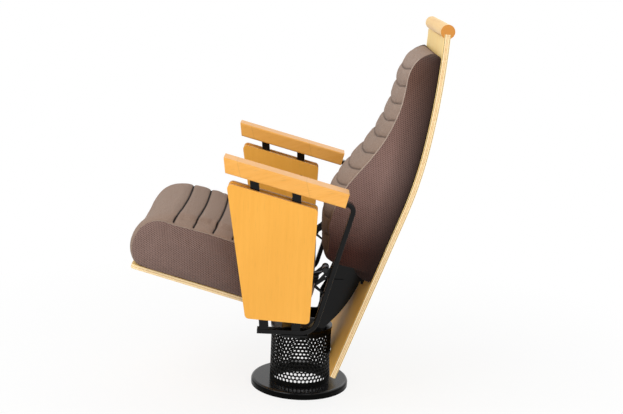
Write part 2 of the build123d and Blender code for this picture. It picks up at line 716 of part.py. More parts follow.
def seat_section(x, inset, channels):
    """Section of the seat cushion at x: drawn in by inset, its channels that deep."""
    low = BOARD_THICK + CUSHION_GAP
    front, rear, top = SEAT_FRONT + inset, SEAT_REAR - inset * 0.4, SEAT_TOP - inset
    bow = SEAT_BOW * (1 - (x / SEAT_CROWN[2][0]) ** 2) if abs(x) < SEAT_CROWN[2][0] else 0.0
    dip, swell = SEAT_GROOVE_DEPTH * channels, 2.0 * channels + 0.3
    belly = low + inset * 0.5
    seams = [(front + 34, top - 1)] + [(g + bow, top - dip) for g in SEAT_GROOVES] + [(rear - 24, top - 1)]
    edges = [
        ThreePointArc((front + 12, low), (front + 2, belly + 6), (front - 1, belly + 26)),
        ThreePointArc((front - 1, belly + 26), (front - 1.5, (belly + top) / 2), (front + 2, top - 34)),
        ThreePointArc((front + 2, top - 34), (front + 10, top - 11), seams[0]),
    ]
    for (y1, z1), (y2, z2) in zip(seams, seams[1:]):
        edges.append(ThreePointArc((y1, z1), ((y1 + y2) / 2, max(z1, z2) + swell), (y2, z2)))
    edges += [
        ThreePointArc(seams[-1], (rear - 6, top - 7), (rear, top - 24)),
        ThreePointArc((rear, top - 24), (rear + 1, (low + top) / 2), (rear - 5, low + 12)),
        Line((rear - 5, low + 12), (rear - 10, low)),
        Line((rear - 10, low), (front + 12, low)),
    ]
    return Plane.YZ.offset(x) * make_face(edges)


def mirrored_stations(crown):
    """Both halves of a crown list, from the sitter's right to the left."""
    return [(-x, *rest) for x, *rest in reversed(crown) if x] + [tuple(row) for row in crown]


def seat_cushion():
    """Channelled cushion, crowned from side to side, on the seat board."""
    sections = [seat_section(*row) for row in mirrored_stations(SEAT_CROWN)]
    flat = Plane(origin=(0, 0, 0), x_dir=(1, 0, 0), z_dir=(0, 0, 1))
    return seat_plane() * flat.to_local_coords(loft(sections, ruled=True))


# ---------------------------------------------------------------- back
def shell_line():
    """Middle line of the back shell: straight, then two arcs that curl it upright."""
    straight = PolarLine(SHELL_FOOT, SHELL_STRAIGHT, 90 - SHELL_LEAN)
    line, edges = straight, [straight]
    for radius, turn in zip(SHELL_RADII, SHELL_TURNS):
        line = JernArc(line @ 1, line % 1, radius, turn)
        edges.append(line)
    return edges


def shell_stages(forward):
    """Each stretch of the shell, moved forward: (top height, function giving y at a height)."""
    lean = radians(SHELL_LEAN)
    foot_y, foot_z = SHELL_FOOT
    y = foot_y - forward * cos(lean)
    z = foot_z + forward * sin(lean)
    end_y, end_z = foot_y + SHELL_STRAIGHT * sin(lean), foot_z + SHELL_STRAIGHT * cos(lean)
    stages = [(end_z + forward * sin(lean), lambda h, y=y, z=z, lean=lean: y + (h - z) * tan(lean))]
    for radius, turn in zip(SHELL_RADII, SHELL_TURNS):
        centre_y, centre_z = end_y - radius * cos(lean), end_z + radius * sin(lean)
        lean -= radians(turn)
        end_y, end_z = centre_y + radius * cos(lean), centre_z - radius * sin(lean)
        reach = radius - forward
        place = lambda h, cy=centre_y, cz=centre_z, r=reach: cy + sqrt(r * r - (h - cz) ** 2)
        stages.append((centre_z - reach * sin(lean), place))
    return stages


def shell_y(z, forward):
    """Where the shell's middle line, moved forward by a square distance, passes a height."""
    stages = shell_stages(forward)
    for top, place in stages:
        if z <= top:
            return place(z)
    return stages[-1][1](z)


def shell_front_y(z, gap=0.0):
    return shell_y(z, SHELL_THICK / 2 + gap)


def back_shell():
    edges = shell_line()
    sheet = trace(Curve() + edges, SHELL_THICK)
    shell = slab(sheet, -SHELL_HALF_WIDTH, SHELL_HALF_WIDTH)
    for bolt in shell_bolt_list():
        shell -= bolt
    return shell - rod(TUBE_RADIUS + SHELL_RELIEF, (0, 0, 0), (0, 0, TUBE_TOP_Z))


def top_rail():
    """Round rail with a slot for the shell's top edge."""
    last = shell_line()[-1]
    end, way = last @ 1, last % 1
    centre = end + way * (RAIL_RADIUS - RAIL_SLOT)
    rail = slab(Pos(centre.X, centre.Y) * Circle(RAIL_RADIUS), -SHELL_HALF_WIDTH, SHELL_HALF_WIDTH)
    angle = degrees(atan2(way.Y, way.X))
    slot = Pos(-RAIL_RADIUS, 0) * Rectangle(2 * RAIL_RADIUS, SHELL_THICK + 2 * SNUG)
    slot = Pos(end.X, end.Y) * Rot(0, 0, angle) * slot
    return rail - slab(slot, -SHELL_HALF_WIDTH - 1, SHELL_HALF_WIDTH + 1)


def rear_face(low, high):
    """The cushion's rear outline, along the shell's front face, upwards."""
    stages = shell_stages(SHELL_THICK / 2 + CUSHION_GAP)
    marks = [low] + [top for top, _ in stages if low < top < high] + [high]
    points = [(shell_front_y(z, CUSHION_GAP), z) for z in marks]
    edges = [Line(points[0], points[1])]
    for (y1, z1), (y2, z2) in zip(points[1:], points[2:]):
        middle = (z1 + z2) / 2
        edges.append(ThreePointArc((y1, z1), (shell_front_y(middle, CUSHION_GAP), middle), (y2, z2)))
    return edges


def back_section(x, above, below, channels):
    """Section of the back cushion at x, with its depth and channels scaled."""
    rise = BACK_BOW * min(abs(x) / BACK_SEAM_X, 1.0) ** 2
    dip, swell = BACK_GROOVE_DEPTH * channels, 3.0 * channels + 0.2

    def at(z, depth):
        low, high = BACK_CHANGE_Z
        share = below + (above - below) * min(max((z - low) / (high - low), 0.0), 1.0)
        return (shell_front_y(z, CUSHION_GAP) - depth * share, z)

    seams = [at(z + rise, depth - dip) for z, depth in BACK_STATIONS]
    top, foot = BACK_TOP_Z, BACK_HEM_Z
    if abs(x) <= MOUNT_PLATE_HALF_WIDTH:
        foot = MOUNT_PLATE_HIGH_Z + MOUNT_PLATE_ROOM
    crown, brow = at(top + 5, 26), at(top - 8, 47)
    edges = [
        ThreePointArc(at(top, 0), at(top + 4, 12), crown),
        ThreePointArc(crown, at(top, 40), brow),
        ThreePointArc(brow, at((top - 8 + seams[0][1]) / 2, 64), seams[0]),
    ]
    for (y1, z1), (y2, z2) in zip(seams, seams[1:]):
        way = hypot(y2 - y1, z2 - z1)
        out = (-(z1 - z2) / way * (dip + swell), (y1 - y2) / way * (dip + swell))
        edges.append(ThreePointArc((y1, z1), ((y1 + y2) / 2 + out[0], (z1 + z2) / 2 + out[1]), (y2, z2)))
    heel, step, hem = at(350, 108), at(352, 62), at(foot, 34)
    edges += [
        ThreePointArc(seams[-1], at(356, 124), heel),
        Line(heel, step),
        Line(step, hem),
        Line(hem, at(foot, 0)),
        *rear_face(foot, top),
    ]
    return Plane.YZ.offset(x) * make_face(edges)


def back_cushion():
    """Channelled cushion, full in the middle, its sides falling back to the shell."""
    sections = [back_section(*row) for row in mirrored_stations(BACK_CROWN)]
    return loft(sections, ruled=True)


def mount_plate_points(forward):
    """Lower and upper end of a line parallel to the shell, in front of it."""
    return [(shell_y(z, forward), z) for z in (MOUNT_PLATE_LOW_Z, MOUNT_PLATE_HIGH_Z)]


def back_mount_plate():
    near, far = SHELL_THICK / 2, SHELL_THICK / 2 + MOUNT_PLATE_THICK
    low, high = mount_plate_points(near)
    front_low, front_high = mount_plate_points(far)
    plate = slab(outline(low, high, front_high, front_low), -MOUNT_PLATE_HALF_WIDTH, MOUNT_PLATE_HALF_WIDTH)
    for bolt in shell_bolt_list():
        plate -= bolt
    return plate


def shell_bolt_list(head=0.0, nut=0.0):
    """Bolts square through shell and mount plate; heads outside, nuts inside."""
    lean = radians(SHELL_LEAN)
    through = SHELL_THICK / 2 + MOUNT_PLATE_THICK
    bolts = []
    for z in (MOUNT_PLATE_LOW_Z + SHELL_BOLT_INSET, MOUNT_PLATE_HIGH_Z - SHELL_BOLT_INSET):
        for x in (-SHELL_BOLT_X, SHELL_BOLT_X):
            axis = Plane(origin=(x, shell_y(z, 0), z), x_dir=(1, 0, 0), z_dir=(0, cos(lean), -sin(lean)))
            length = SHELL_THICK / 2 + through + nut
            shape = Pos(0, 0, -through - nut) * Cylinder(SHELL_BOLT_RADIUS, length, align=STANDING)
            if head:
                disc = Cylinder(2 * SHELL_BOLT_RADIUS, head, align=STANDING)
                shape += Pos(0, 0, SHELL_THICK / 2) * disc
            if nut:
                hexagon = extrude(RegularPolygon(1.85 * SHELL_BOLT_RADIUS, 6), amount=nut)
                shape += Pos(0, 0, -through - nut) * hexagon
            bolts.append(axis * shape)
    return bolts


def shell_bolts():
    return group(shell_bolt_list(head=3.0, nut=6.5))


def back_bracket():
    """Side plate on the pedestal's top, with a toe to the beam, up and back to the mount plate."""
    low, high = mount_plate_points(SHELL_THICK / 2 + MOUNT_PLATE_THICK)
    toe_z = BEAM_LOW_Z + 29
    front = [high, (90, 338), (80, 328), (66, 296), (56, 262), (43, 238), (42.5, 205), (38, toe_z)]
    foot = [(BEAM_REAR_Y, toe_z), (BEAM_REAR_Y, BEAM_LOW_Z), (50, BEAM_LOW_Z), (60, 169)]
    rear = ThreePointArc(foot[-1], (106, 224), low)
    shape = make_face([*Polyline(*front, *foot).edges(), rear, Line(low, high)])
    soft = [v for v in shape.vertices() if toe_z - 1 < v.Y < high[1] - 1 and BEAM_REAR_Y + 1 < v.X < 100]
    shape = fillet(soft, 5)
    plate = slab(shape, BRACKET_X - BRACKET_THICK / 2, BRACKET_X + BRACKET_THICK / 2)
    return plate - bracket_tie_bar(SNUG)


def bracket_tie_bar(play=0.0):
    bar = Pos(85, 284) * Rectangle(26 + 2 * play, 12 + 2 * play)
    half = BRACKET_X + BRACKET_THICK / 2 + 4
    return slab(bar, -half, half)


# ---------------------------------------------------------------- write the pieces
def main():
    os.makedirs("parts", exist_ok=True)
    save("floor_flange", floor_flange())
    save("flange_cover", flange_cover())
    save("pedestal_tube", pedestal_tube())
    save("top_plate", top_plate())
    save("cross_beam", cross_beam())
    save("beam_bolts", beam_bolts())
    save("frame_bolts", frame_bolts())
    save_pair("side_frame", side_frame())
    save_pair("frame_end_cap", frame_end_cap())
    save_pair("front_post", post(FRONT_POST_FOOT_Y, FRONT_POST_TOP_Y))
    save_pair("rear_post", post(REAR_POST_FOOT_Y, REAR_POST_TOP_Y))
    save_pair("armrest", armrest())
    save("armrest_screws", armrest_screws())
    save_pair("side_panel_outer", side_panel_outer())
    save_pair("side_panel_inner", side_panel_inner())
    save("panel_screws", panel_screws())
    save_pair("pivot_lug", pivot_lug())
    save_pair("pivot_pin", pivot_pin())
    save_pair("retaining_ring", retaining_ring())
    save_pair("torsion_spring", torsion_spring())
    save_pair("stop_buffer", stop_buffer())
    save_pair("seat_arm", seat_arm())
    save_pair("arm_bush", arm_bush())
    save("seat_shell", seat_shell())
    save("seat_cushion", seat_cushion())
    save("seat_bolts", seat_bolts())
    save("back_shell", back_shell())
    save("top_rail", top_rail())
    save("back_cushion", back_cushion())
    save("back_mount_plate", back_mount_plate())
    save_pair("back_bracket", back_bracket())
    save("bracket_tie", bracket_tie_bar())
    save("shell_bolts", shell_bolts())


main()
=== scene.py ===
"""Looks for the tip-up auditorium seat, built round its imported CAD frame.

Shapes are written in millimetres, as the CAD is, and turned into metres where a
mesh is made. +Z is up, the sitter faces -Y and +X is the sitter's left.
"""

from math import acos, atan2, ceil, cos, hypot, pi, radians, sin, sqrt, tan

import bpy
import numpy as np
from mathutils import Matrix, Vector, noise
from mathutils.bvhtree import BVHTree


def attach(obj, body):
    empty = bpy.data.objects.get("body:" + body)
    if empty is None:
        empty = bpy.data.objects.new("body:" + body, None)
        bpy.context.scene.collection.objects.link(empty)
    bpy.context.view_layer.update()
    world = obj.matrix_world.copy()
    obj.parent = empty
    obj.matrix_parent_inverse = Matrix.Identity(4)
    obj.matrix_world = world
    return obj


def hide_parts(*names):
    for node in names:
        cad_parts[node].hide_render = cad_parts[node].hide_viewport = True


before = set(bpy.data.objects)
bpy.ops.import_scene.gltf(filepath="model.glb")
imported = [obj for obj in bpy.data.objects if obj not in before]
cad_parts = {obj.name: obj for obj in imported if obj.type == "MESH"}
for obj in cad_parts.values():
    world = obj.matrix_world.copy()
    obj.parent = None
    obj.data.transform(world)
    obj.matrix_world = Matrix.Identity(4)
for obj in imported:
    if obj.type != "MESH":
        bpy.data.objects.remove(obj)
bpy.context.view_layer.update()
MM = 0.001

# ---------------------------------------------------------------- sizes, in millimetres
# height of the seat board's underside at y 0, and its fall to the rear
SEAT_ORIGIN_Z, SEAT_FALL = 230.0, radians(15)
BOARD_HALF, BOARD_FRONT, BOARD_REAR, BOARD_THICK, BOARD_CORNER = 200, -417, -2, 11, 8.0
SEAT_GROOVES = (-349.0, -302.0, -255.0, -208.0, -161.0, -113.0, -64.0)
SEAT_SEAM_X = 206.5
# creases lie further back in the middle and bend forward at their ends
SEAT_BOW, SEAT_HOOK = 5.0, 2.0
SEAT_DISH, SEAT_DISH_HALF, SEAT_PAD_LOW = 4.0, 190, 11.4
SHELL_FOOT, SHELL_LEAN, SHELL_STRAIGHT = (78.9, 87.4), radians(20), 428.4
SHELL_RADII, SHELL_TURNS = (950.0, 1900.0), (9.5, 8.0)
SHELL_THICK, SHELL_HALF = 14.0, 190.0
BACK_STATIONS = (
    (812, 72), (770, 79), (729, 87), (689, 99), (650, 115), (611, 136),
    (572, 156), (532, 168), (491, 169), (450, 162), (408, 146), (366, 130),
)
BACK_SEAM_X = 125.0
# creases rise towards the seams and lie a little above the stations
BACK_BOW, BACK_LIFT = 8.0, 2.0
# added to the depths at the stations, because the cloth puffs the pad up again
BACK_DRAWN = (-7.0, -7.5, -9.0, -11.0, -14.0, -15.0, -13.0, -9.0, -5.0, -3.0, -2.0)
SEAT_GROOVE_DEPTH, BACK_GROOVE_DEPTH = 3.8, 4.0
# width and depth of a sewn line across a pad, the same of the dip along a seam, radius of its cord
SEAT_CREASE, BACK_CREASE = (1.9, 2.6), (1.7, 1.6)
SEAT_DIP, BACK_DIP = (2.4, 1.6), (2.4, 1.8)
SEAT_CORD, BACK_CORD = 0.8, 1.7
# grid of the pads before they are made finer, the most that the cloth moves a point, its frames
PAD_GRID, SEAT_PUFF, BACK_PUFF, CLOTH_FRAMES = 4.6, 7.0, 6.0, 20
PANEL_CORNERS = ((-179.0, 568.0), (26.0, 516.0), (18.0, 250.0), (-127.5, 258.0))
PANEL_CORNER_RADIUS, PANEL_THICK, PANEL_OUTER_X, PANEL_INNER_X = 10.0, 12, 282.0, 246.0
TUBE_RADIUS, TUBE_WALL, TUBE_LOW, TUBE_TOP = 75.5, 2.5, 8.0, 152.0
HOLES_ROUND, HOLE_ROWS, HOLE_RADIUS, HOLES_LOW, HOLES_HIGH = 46, 13, 3.8, 24.3, 142.6
MOUNT_PLATE_HALF, MIDDLE_HEM_Z = 75.0, 351.0

# the camera that was fitted to the photograph: metres, radians, pixels, sensor in millimetres
CAMERA_PLACE = (2.77408, 0.00569, 1.06018)
CAMERA_YAW, CAMERA_PITCH, CAMERA_ROLL = 0.0021, 0.2137, 0.0453
FOCAL_PIXELS, PHOTO_WIDTH, SENSOR_WIDTH = 1150.2, 623, 36


# ---------------------------------------------------------------- camera
def make_camera():
    """The photograph's viewpoint: on the sitter's left, a little above the rail."""
    yaw, pitch, roll = CAMERA_YAW, CAMERA_PITCH, CAMERA_ROLL
    forward = Vector((-cos(yaw) * cos(pitch), sin(yaw) * cos(pitch), -sin(pitch)))
    level = forward.cross(Vector((0, 0, 1))).normalized()
    upright = level.cross(forward)
    right = level * cos(roll) + upright * sin(roll)
    up = upright * cos(roll) - level * sin(roll)
    data = bpy.data.cameras.new("camera")
    data.sensor_width = SENSOR_WIDTH
    data.lens = FOCAL_PIXELS / PHOTO_WIDTH * SENSOR_WIDTH
    camera = bpy.data.objects.new("camera", data)
    turn = Matrix((right, up, -forward)).transposed().to_4x4()
    camera.matrix_world = Matrix.Translation(CAMERA_PLACE) @ turn
    bpy.context.scene.collection.objects.link(camera)
    bpy.context.scene.camera = camera


# ---------------------------------------------------------------- shader helpers
class Paint:
    """One material and short ways to add nodes to it."""

    def __init__(self, name, roughness=0.5, color=(0.5, 0.5, 0.5), **settings):
        self.mat = bpy.data.materials.new(name)
        self.mat.use_nodes = True
        self.tree = self.mat.node_tree
        self.bsdf = self.tree.nodes["Principled BSDF"]
        self.put(self.bsdf, "Roughness", roughness)
        self.put(self.bsdf, "Base Color", (*color, 1))
        for key, value in settings.items():
            self.put(self.bsdf, key.replace("_", " "), value)
        self.mat.diffuse_color = (*color, 1)

    @classmethod
    def over(cls, mat):
        """The helpers for a material that is made already, and the colour linked into it."""
        p = cls.__new__(cls)
        p.mat, p.tree = mat, mat.node_tree
        p.bsdf = p.tree.nodes["Principled BSDF"]
        return p, p.bsdf.inputs["Base Color"].links[0].from_socket

    def put(self, node, key, value):
        if isinstance(value, bpy.types.NodeSocket):
            self.tree.links.new(value, node.inputs[key])
        else:
            node.inputs[key].default_value = value

    def node(self, kind, inputs=None, **props):
        n = self.tree.nodes.new("ShaderNode" + kind)
        for key, value in props.items():
            setattr(n, key, value)
        for key, value in (inputs or {}).items():
            self.put(n, key, value)
        return n

    def math(self, operation, a, b=0.0, c=0.0):
        return self.node("Math", {0: a, 1: b, 2: c}, operation=operation).outputs[0]

    def place(self, scale=(1, 1, 1), turn=(0, 0, 0)):
        """Object coordinates in millimetres, turned and scaled."""
        spot = self.node("TexCoord").outputs["Object"]
        mapping = self.node("Mapping", {"Vector": spot, "Rotation": turn}, vector_type="POINT")
        factors = tuple(1000 * s for s in scale)
        scaled = self.node("VectorMath", {0: mapping.outputs[0], 1: factors}, operation="MULTIPLY")
        return scaled.outputs[0]

    def axis(self, vector, name):
        return self.node("SeparateXYZ", {0: vector}).outputs[name]

    def noise(self, vector, scale=1.0, detail=3.0, rough=0.5, out="Fac"):
        inputs = {"Vector": vector, "Scale": scale, "Detail": detail, "Roughness": rough}
        return self.node("TexNoise", inputs).outputs[out]

    def ramp(self, value, *stops):
        """Colours or greys along a value; stops are (place, colour)."""
        n = self.node("ValToRGB", {0: value})
        while len(n.color_ramp.elements) < len(stops):
            n.color_ramp.elements.new(0.5)
        for element, (where, color) in zip(n.color_ramp.elements, stops):
            element.position = where
            element.color = (*color, 1) if isinstance(color, tuple) else (color, color, color, 1)
        return n.outputs[0]

    def mix(self, factor, a, b, blend="MIX"):
        n = self.node("Mix", data_type="RGBA", blend_type=blend)
        self.put(n, 0, factor)
        for key, value in ((6, a), (7, b)):
            self.put(n, key, (*value, 1) if isinstance(value, tuple) else value)
        return n.outputs[2]

    def bump(self, height, distance=0.5, strength=1.0):
        """Bump from a height; distance is in millimetres."""
        n = self.node("Bump", {"Height": height, "Distance": distance * MM, "Strength": strength})
        self.put(self.bsdf, "Normal", n.outputs[0])

    def color(self, value):
        self.put(self.bsdf, "Base Color", value)


def srgb(r, g, b):
    """Linear colour from 0 to 255 screen values."""
    return tuple(((c / 255 + 0.055) / 1.055) ** 2.4 if c > 10 else c / 255 / 12.92 for c in (r, g, b))


def toned(color, share):
    """The same colour, darker or lighter."""
    return tuple(c * share for c in color)


# ---------------------------------------------------------------- materials
def wood(name, light, dark, grain, turn=(0, 0, 0), gloss=0.4, flecks=0.16, coat=0.12, stave=0):
    """Lacquered beech: long soft figure, short dark flecks, slow shifts of tone, glued staves."""
    p = Paint(name, gloss, light, Coat_Weight=coat, Coat_Roughness=0.3, Specular_IOR_Level=0.1 + 2 * coat)
    along = p.place(grain, turn)
    figure = p.noise(along, 1.0, 5.0, 0.6)
    tone = p.ramp(figure, (0.3, dark), (0.7, light))
    slow = p.noise(p.place((0.006, 0.006, 0.006)), 1.0, 2.0)
    tone = p.mix(p.ramp(slow, (0.35, 0.0), (0.7, 0.3)), tone, toned(dark, 0.92))
    short = p.noise(p.place(tuple(g * 5 for g in grain), turn), 1.0, 1.0)
    tone = p.mix(p.ramp(short, (0.6, 0.0), (0.74, flecks)), tone, toned(dark, 0.6))
    if stave:
        run = p.math("DIVIDE", p.axis(p.place((1, 1, 1), turn), "Y"), stave)
        block = p.node("TexWhiteNoise", {"W": p.math("FLOOR", run)}, noise_dimensions="1D").outputs["Value"]
        tone = p.mix(p.math("MULTIPLY", block, 0.14), tone, toned(dark, 0.8))
        edge = p.math("ABSOLUTE", p.math("SUBTRACT", p.math("FRACT", run), 0.5))
        tone = p.mix(p.ramp(edge, (0.49, 0.0), (0.497, 0.2)), tone, toned(dark, 0.45))
    p.color(tone)
    p.bump(figure, 0.05)
    return p.mat


def shell_wood(light, dark, shade):
    """Veneer of the back shell; painted shade deepens the tone of its front face and edges towards the foot.
    """
    mat = wood("shell_beech", light, dark, (0.10, 0.10, 0.006), gloss=0.55, coat=0.0)
    p, tone = Paint.over(mat)
    height = p.axis(p.place(), "Z")
    facing = p.axis(p.node("NewGeometry").outputs["Normal"], "Y")
    # painted shade: low down, the front face and edges are mixed towards the shade colour
    low = p.ramp(p.math("DIVIDE", height, 1000.0), (0.26, 1.0), (0.42, 0.0))
    front = p.ramp(facing, (0.0, 1.0), (0.3, 0.0))
    p.color(p.mix(p.math("MULTIPLY", low, front), tone, shade))
    return mat


def rail_wood(light, dark, end):
    """Turned rail: pale long grain, darker end grain on its flat ends."""
    mat = wood("rail_beech", light, dark, (0.006, 0.10, 0.10))
    p, tone = Paint.over(mat)
    across = p.math("ABSOLUTE", p.axis(p.node("NewGeometry").outputs["Normal"], "X"))
    p.color(p.mix(p.ramp(across, (0.6, 0.0), (0.8, 1.0)), tone, end))
    return mat


def plain_wood(name, tone, dark):
    """Cut edge of a veneer: fine end grain streaks."""
    p = Paint(name, 0.55, tone, Specular_IOR_Level=0.3)
    streak = p.noise(p.place((0.25, 0.25, 0.25)), 1.0, 4.0)
    p.color(p.ramp(streak, (0.3, dark), (0.75, tone)))
    p.bump(streak, 0.1)
    return p.mat


def lattice(p, vector, pitch):
    """Three crossed waves: dots on a hexagonal grid, from 0 to 1."""
    u, v = p.axis(vector, "Y"), p.axis(vector, "Z")
    waves = None
    for turn in (0, 60, 120):
        across, up = p.math("MULTIPLY", u, cos(radians(turn))), p.math("MULTIPLY", v, sin(radians(turn)))
        line = p.math("ADD", across, up)
        wave = p.math("COSINE", p.math("MULTIPLY", line, 2 * pi / pitch))
        waves = wave if waves is None else p.math("ADD", waves, wave)
    return p.math("DIVIDE", p.math("ADD", waves, 1.5), 4.5)


def mesh_fabric(name, light, dark, stops, pitch=3.7):
    """Open spacer fabric: light yarn round small dark cells; stops paint shade on it along the height."""
    p = Paint(name, 0.92, light, Sheen_Weight=0.05, Sheen_Roughness=0.5, Specular_IOR_Level=0.15)
    wobble = p.noise(p.place((0.35, 0.35, 0.35)), 1.0, 2.0, out="Color")
    spot = p.node("VectorMath", {0: p.place(), 1: wobble}, operation="ADD").outputs[0]
    cells = lattice(p, spot, pitch)
    yarn = p.noise(p.place((1.4, 1.4, 1.4)), 1.0, 3.0)
    tone = p.ramp(cells, (0.12, light), (0.7, dark))
    tone = p.mix(p.ramp(yarn, (0.3, 0.25), (0.75, 0.0)), tone, toned(dark, 0.6))
    blotch = p.noise(p.place((0.02, 0.02, 0.02)), 1.0, 3.0)
    tone = p.mix(p.ramp(blotch, (0.35, 0.0), (0.7, 0.16)), tone, light)
    # painted shade along the height, from the stops
    height = p.math("DIVIDE", p.axis(p.place(), "Z"), 1000.0)
    tone = p.mix(1.0, tone, p.ramp(height, *stops), "MULTIPLY")
    # painted shade: a point attribute darkens the cloth in creases and on shaded sides
    painted_shade = p.node("Attribute", attribute_name="painted_shade").outputs["Fac"]
    p.color(p.mix(p.ramp(painted_shade, (0.0, 0.0), (1.0, 0.85)), tone, toned(dark, 0.22)))
    p.bump(p.math("SUBTRACT", p.math("MULTIPLY", yarn, 0.35), cells), 0.6)
    return p.mat


def woven_fabric(name, light, dark, pitch=2.2, stops=None):
    """Close plain weave for the channelled fronts, with painted shade in its creases; stops paint shade on
    it along the height.
    """
    p = Paint(name, 0.88, light, Sheen_Weight=0.08, Sheen_Roughness=0.4, Specular_IOR_Level=0.15)
    spot = p.place()
    x = p.axis(spot, "X")
    run = p.math("SUBTRACT", p.axis(spot, "Z"), p.math("MULTIPLY", p.axis(spot, "Y"), 0.9))
    warp = p.math("SINE", p.math("MULTIPLY", x, 2 * pi / pitch))
    weft = p.math("SINE", p.math("MULTIPLY", run, 2 * pi / (pitch * 0.9)))
    weave = p.math("MULTIPLY", warp, weft)
    yarn = p.noise(p.place((0.9, 0.9, 0.9)), 1.0, 3.0)
    tone = p.ramp(yarn, (0.3, dark), (0.68, light))
    tone = p.mix(p.ramp(weave, (0.1, 0.3), (0.7, 0.0)), tone, dark)
    slub = p.noise(p.place((0.02, 0.5, 0.5)), 1.0, 3.0)
    tone = p.mix(p.ramp(slub, (0.5, 0.0), (0.75, 0.3)), tone, toned(dark, 0.75))
    # painted shade along the height, when stops are given
    if stops:
        height = p.math("DIVIDE", p.axis(spot, "Z"), 1000.0)
        tone = p.mix(1.0, tone, p.ramp(height, *stops), "MULTIPLY")
    # painted shade: the same point attribute darkens the weave in its creases
    painted_shade = p.node("Attribute", attribute_name="painted_shade").outputs["Fac"]
    p.color(p.mix(p.ramp(painted_shade, (0.05, 0.0), (0.6, 1.0)), tone, toned(dark, 0.04)))
    p.bump(p.math("ADD", weave, p.math("MULTIPLY", yarn, 1.2)), 0.35)
    return p.mat


def steel(name, tone, roughness, reflect, metallic=0.0):
    """Powder coat or plating: fine orange peel and uneven sheen."""
    p = Paint(name, roughness, tone, Metallic=metallic, Specular_IOR_Level=reflect)
    peel = p.noise(p.place((0.55, 0.55, 0.55)), 1.0, 2.0)
    worn = p.noise(p.place((0.03, 0.03, 0.03)), 1.0, 3.0)
    p.color(p.ramp(worn, (0.3, toned(tone, 0.85)), (0.75, toned(tone, 1.15))))
    p.put(p.bsdf, "Roughness", p.ramp(worn, (0.3, roughness * 0.85), (0.8, min(1.0, roughness * 1.15))))
    p.bump(peel, 0.04)
    return p.mat


def plastic(name, tone, roughness=0.55):
    """Moulded plastic or rubber with a fine grain."""
    p = Paint(name, roughness, tone, Specular_IOR_Level=0.2)
    grain = p.noise(p.place((1.5, 1.5, 1.5)), 1.0, 2.0)
    p.bump(grain, 0.08)
    return p.mat


MATERIALS = {}


def make_materials():
    upright = (0.10, 0.10, 0.006)
    along_arm, arm_turn = (0.10, 0.008, 0.10), (radians(-14.2), 0, 0)
    yarn, cell = srgb(150, 124, 115), srgb(74, 54, 48)
    # shares of the fabric's colour at heights in metres, as painted shade: everywhere the same, back sides,
    # back front
    even = ((0.0, (1.0, 1.0, 1.0)), (1.0, (1.0, 1.0, 1.0)))
    side_painted_shade = (
        (0.30, (0.2, 0.12, 0.1)), (0.39, (0.3, 0.17, 0.15)), (0.46, (0.7, 0.62, 0.62)),
        (0.58, (1.0, 0.96, 0.98)), (0.70, (0.86, 0.77, 0.75)), (0.80, (0.68, 0.53, 0.45)),
    )
    shaded = (
        (0.35, (0.2, 0.14, 0.08)), (0.46, (0.24, 0.16, 0.09)), (0.52, (0.9, 0.88, 0.86)),
        (0.66, (0.9, 0.9, 0.89)), (0.75, (1.0, 1.0, 1.0)),
    )
    MATERIALS.update(
        panel=wood("panel_beech", srgb(244, 177, 74), srgb(239, 170, 67), upright, coat=0.06),
        arm=wood(
            "arm_beech", srgb(244, 179, 88), srgb(237, 167, 71), along_arm, arm_turn, flecks=0.3, stave=140.0
        ),
        # the shell's third colour is the painted shade low on its front
        shell=shell_wood(srgb(255, 230, 164), srgb(252, 213, 136), srgb(250, 190, 94)),
        rail=rail_wood(srgb(249, 206, 120), srgb(238, 186, 96), srgb(208, 136, 46)),
        ply_light=plain_wood("ply_light", srgb(255, 234, 190), srgb(248, 216, 162)),
        ply_dark=plain_wood("ply_dark", srgb(226, 176, 108), srgb(190, 134, 72)),
        ply_glue=plain_wood("ply_glue", srgb(96, 52, 18), srgb(66, 34, 12)),
        seat_side=mesh_fabric("seat_side_fabric", yarn, cell, even),
        back_side=mesh_fabric("back_side_fabric", yarn, cell, side_painted_shade),
        front=woven_fabric("front_fabric", srgb(175, 153, 138), srgb(142, 118, 103)),
        # the back front is the seat front's cloth, painted lighter as painted light, with painted shade down
        # its height
        back_front=woven_fabric("back_front_fabric", srgb(184, 163, 149), srgb(151, 128, 114), stops=shaded),
        # pale cords: partly their own light thread, partly a painted highlight along the seams' edges
        seam=woven_fabric("seam_thread", srgb(196, 176, 162), srgb(170, 150, 136), 1.2),
        back_seam=woven_fabric("back_seam_thread", srgb(222, 203, 189), srgb(194, 173, 158), 1.2, shaded),
        black=steel("black_steel", srgb(6, 6, 6), 0.2, reflect=0.2),
        tube=steel("tube_steel", srgb(16, 16, 15), 0.42, reflect=0.06),
        cover=steel("cover_steel", srgb(22, 22, 23), 0.16, reflect=0.24),
        # painted shade: the cover's rim, darker and less glossy than its top
        rim=steel("cover_rim_shaded", srgb(6, 6, 6), 0.22, reflect=0.04),
        bolt=steel("dark_bolt", srgb(30, 30, 31), 0.4, reflect=0.3),
        bright=steel("bright_steel", srgb(176, 176, 178), 0.34, metallic=1.0, reflect=0.5),
        spring=steel("spring_steel", srgb(112, 112, 116), 0.35, metallic=1.0, reflect=0.5),
        rubber=plastic("rubber", srgb(24, 24, 24), 0.8),
        plastic=plastic("black_plastic", srgb(22, 22, 23)),
    )


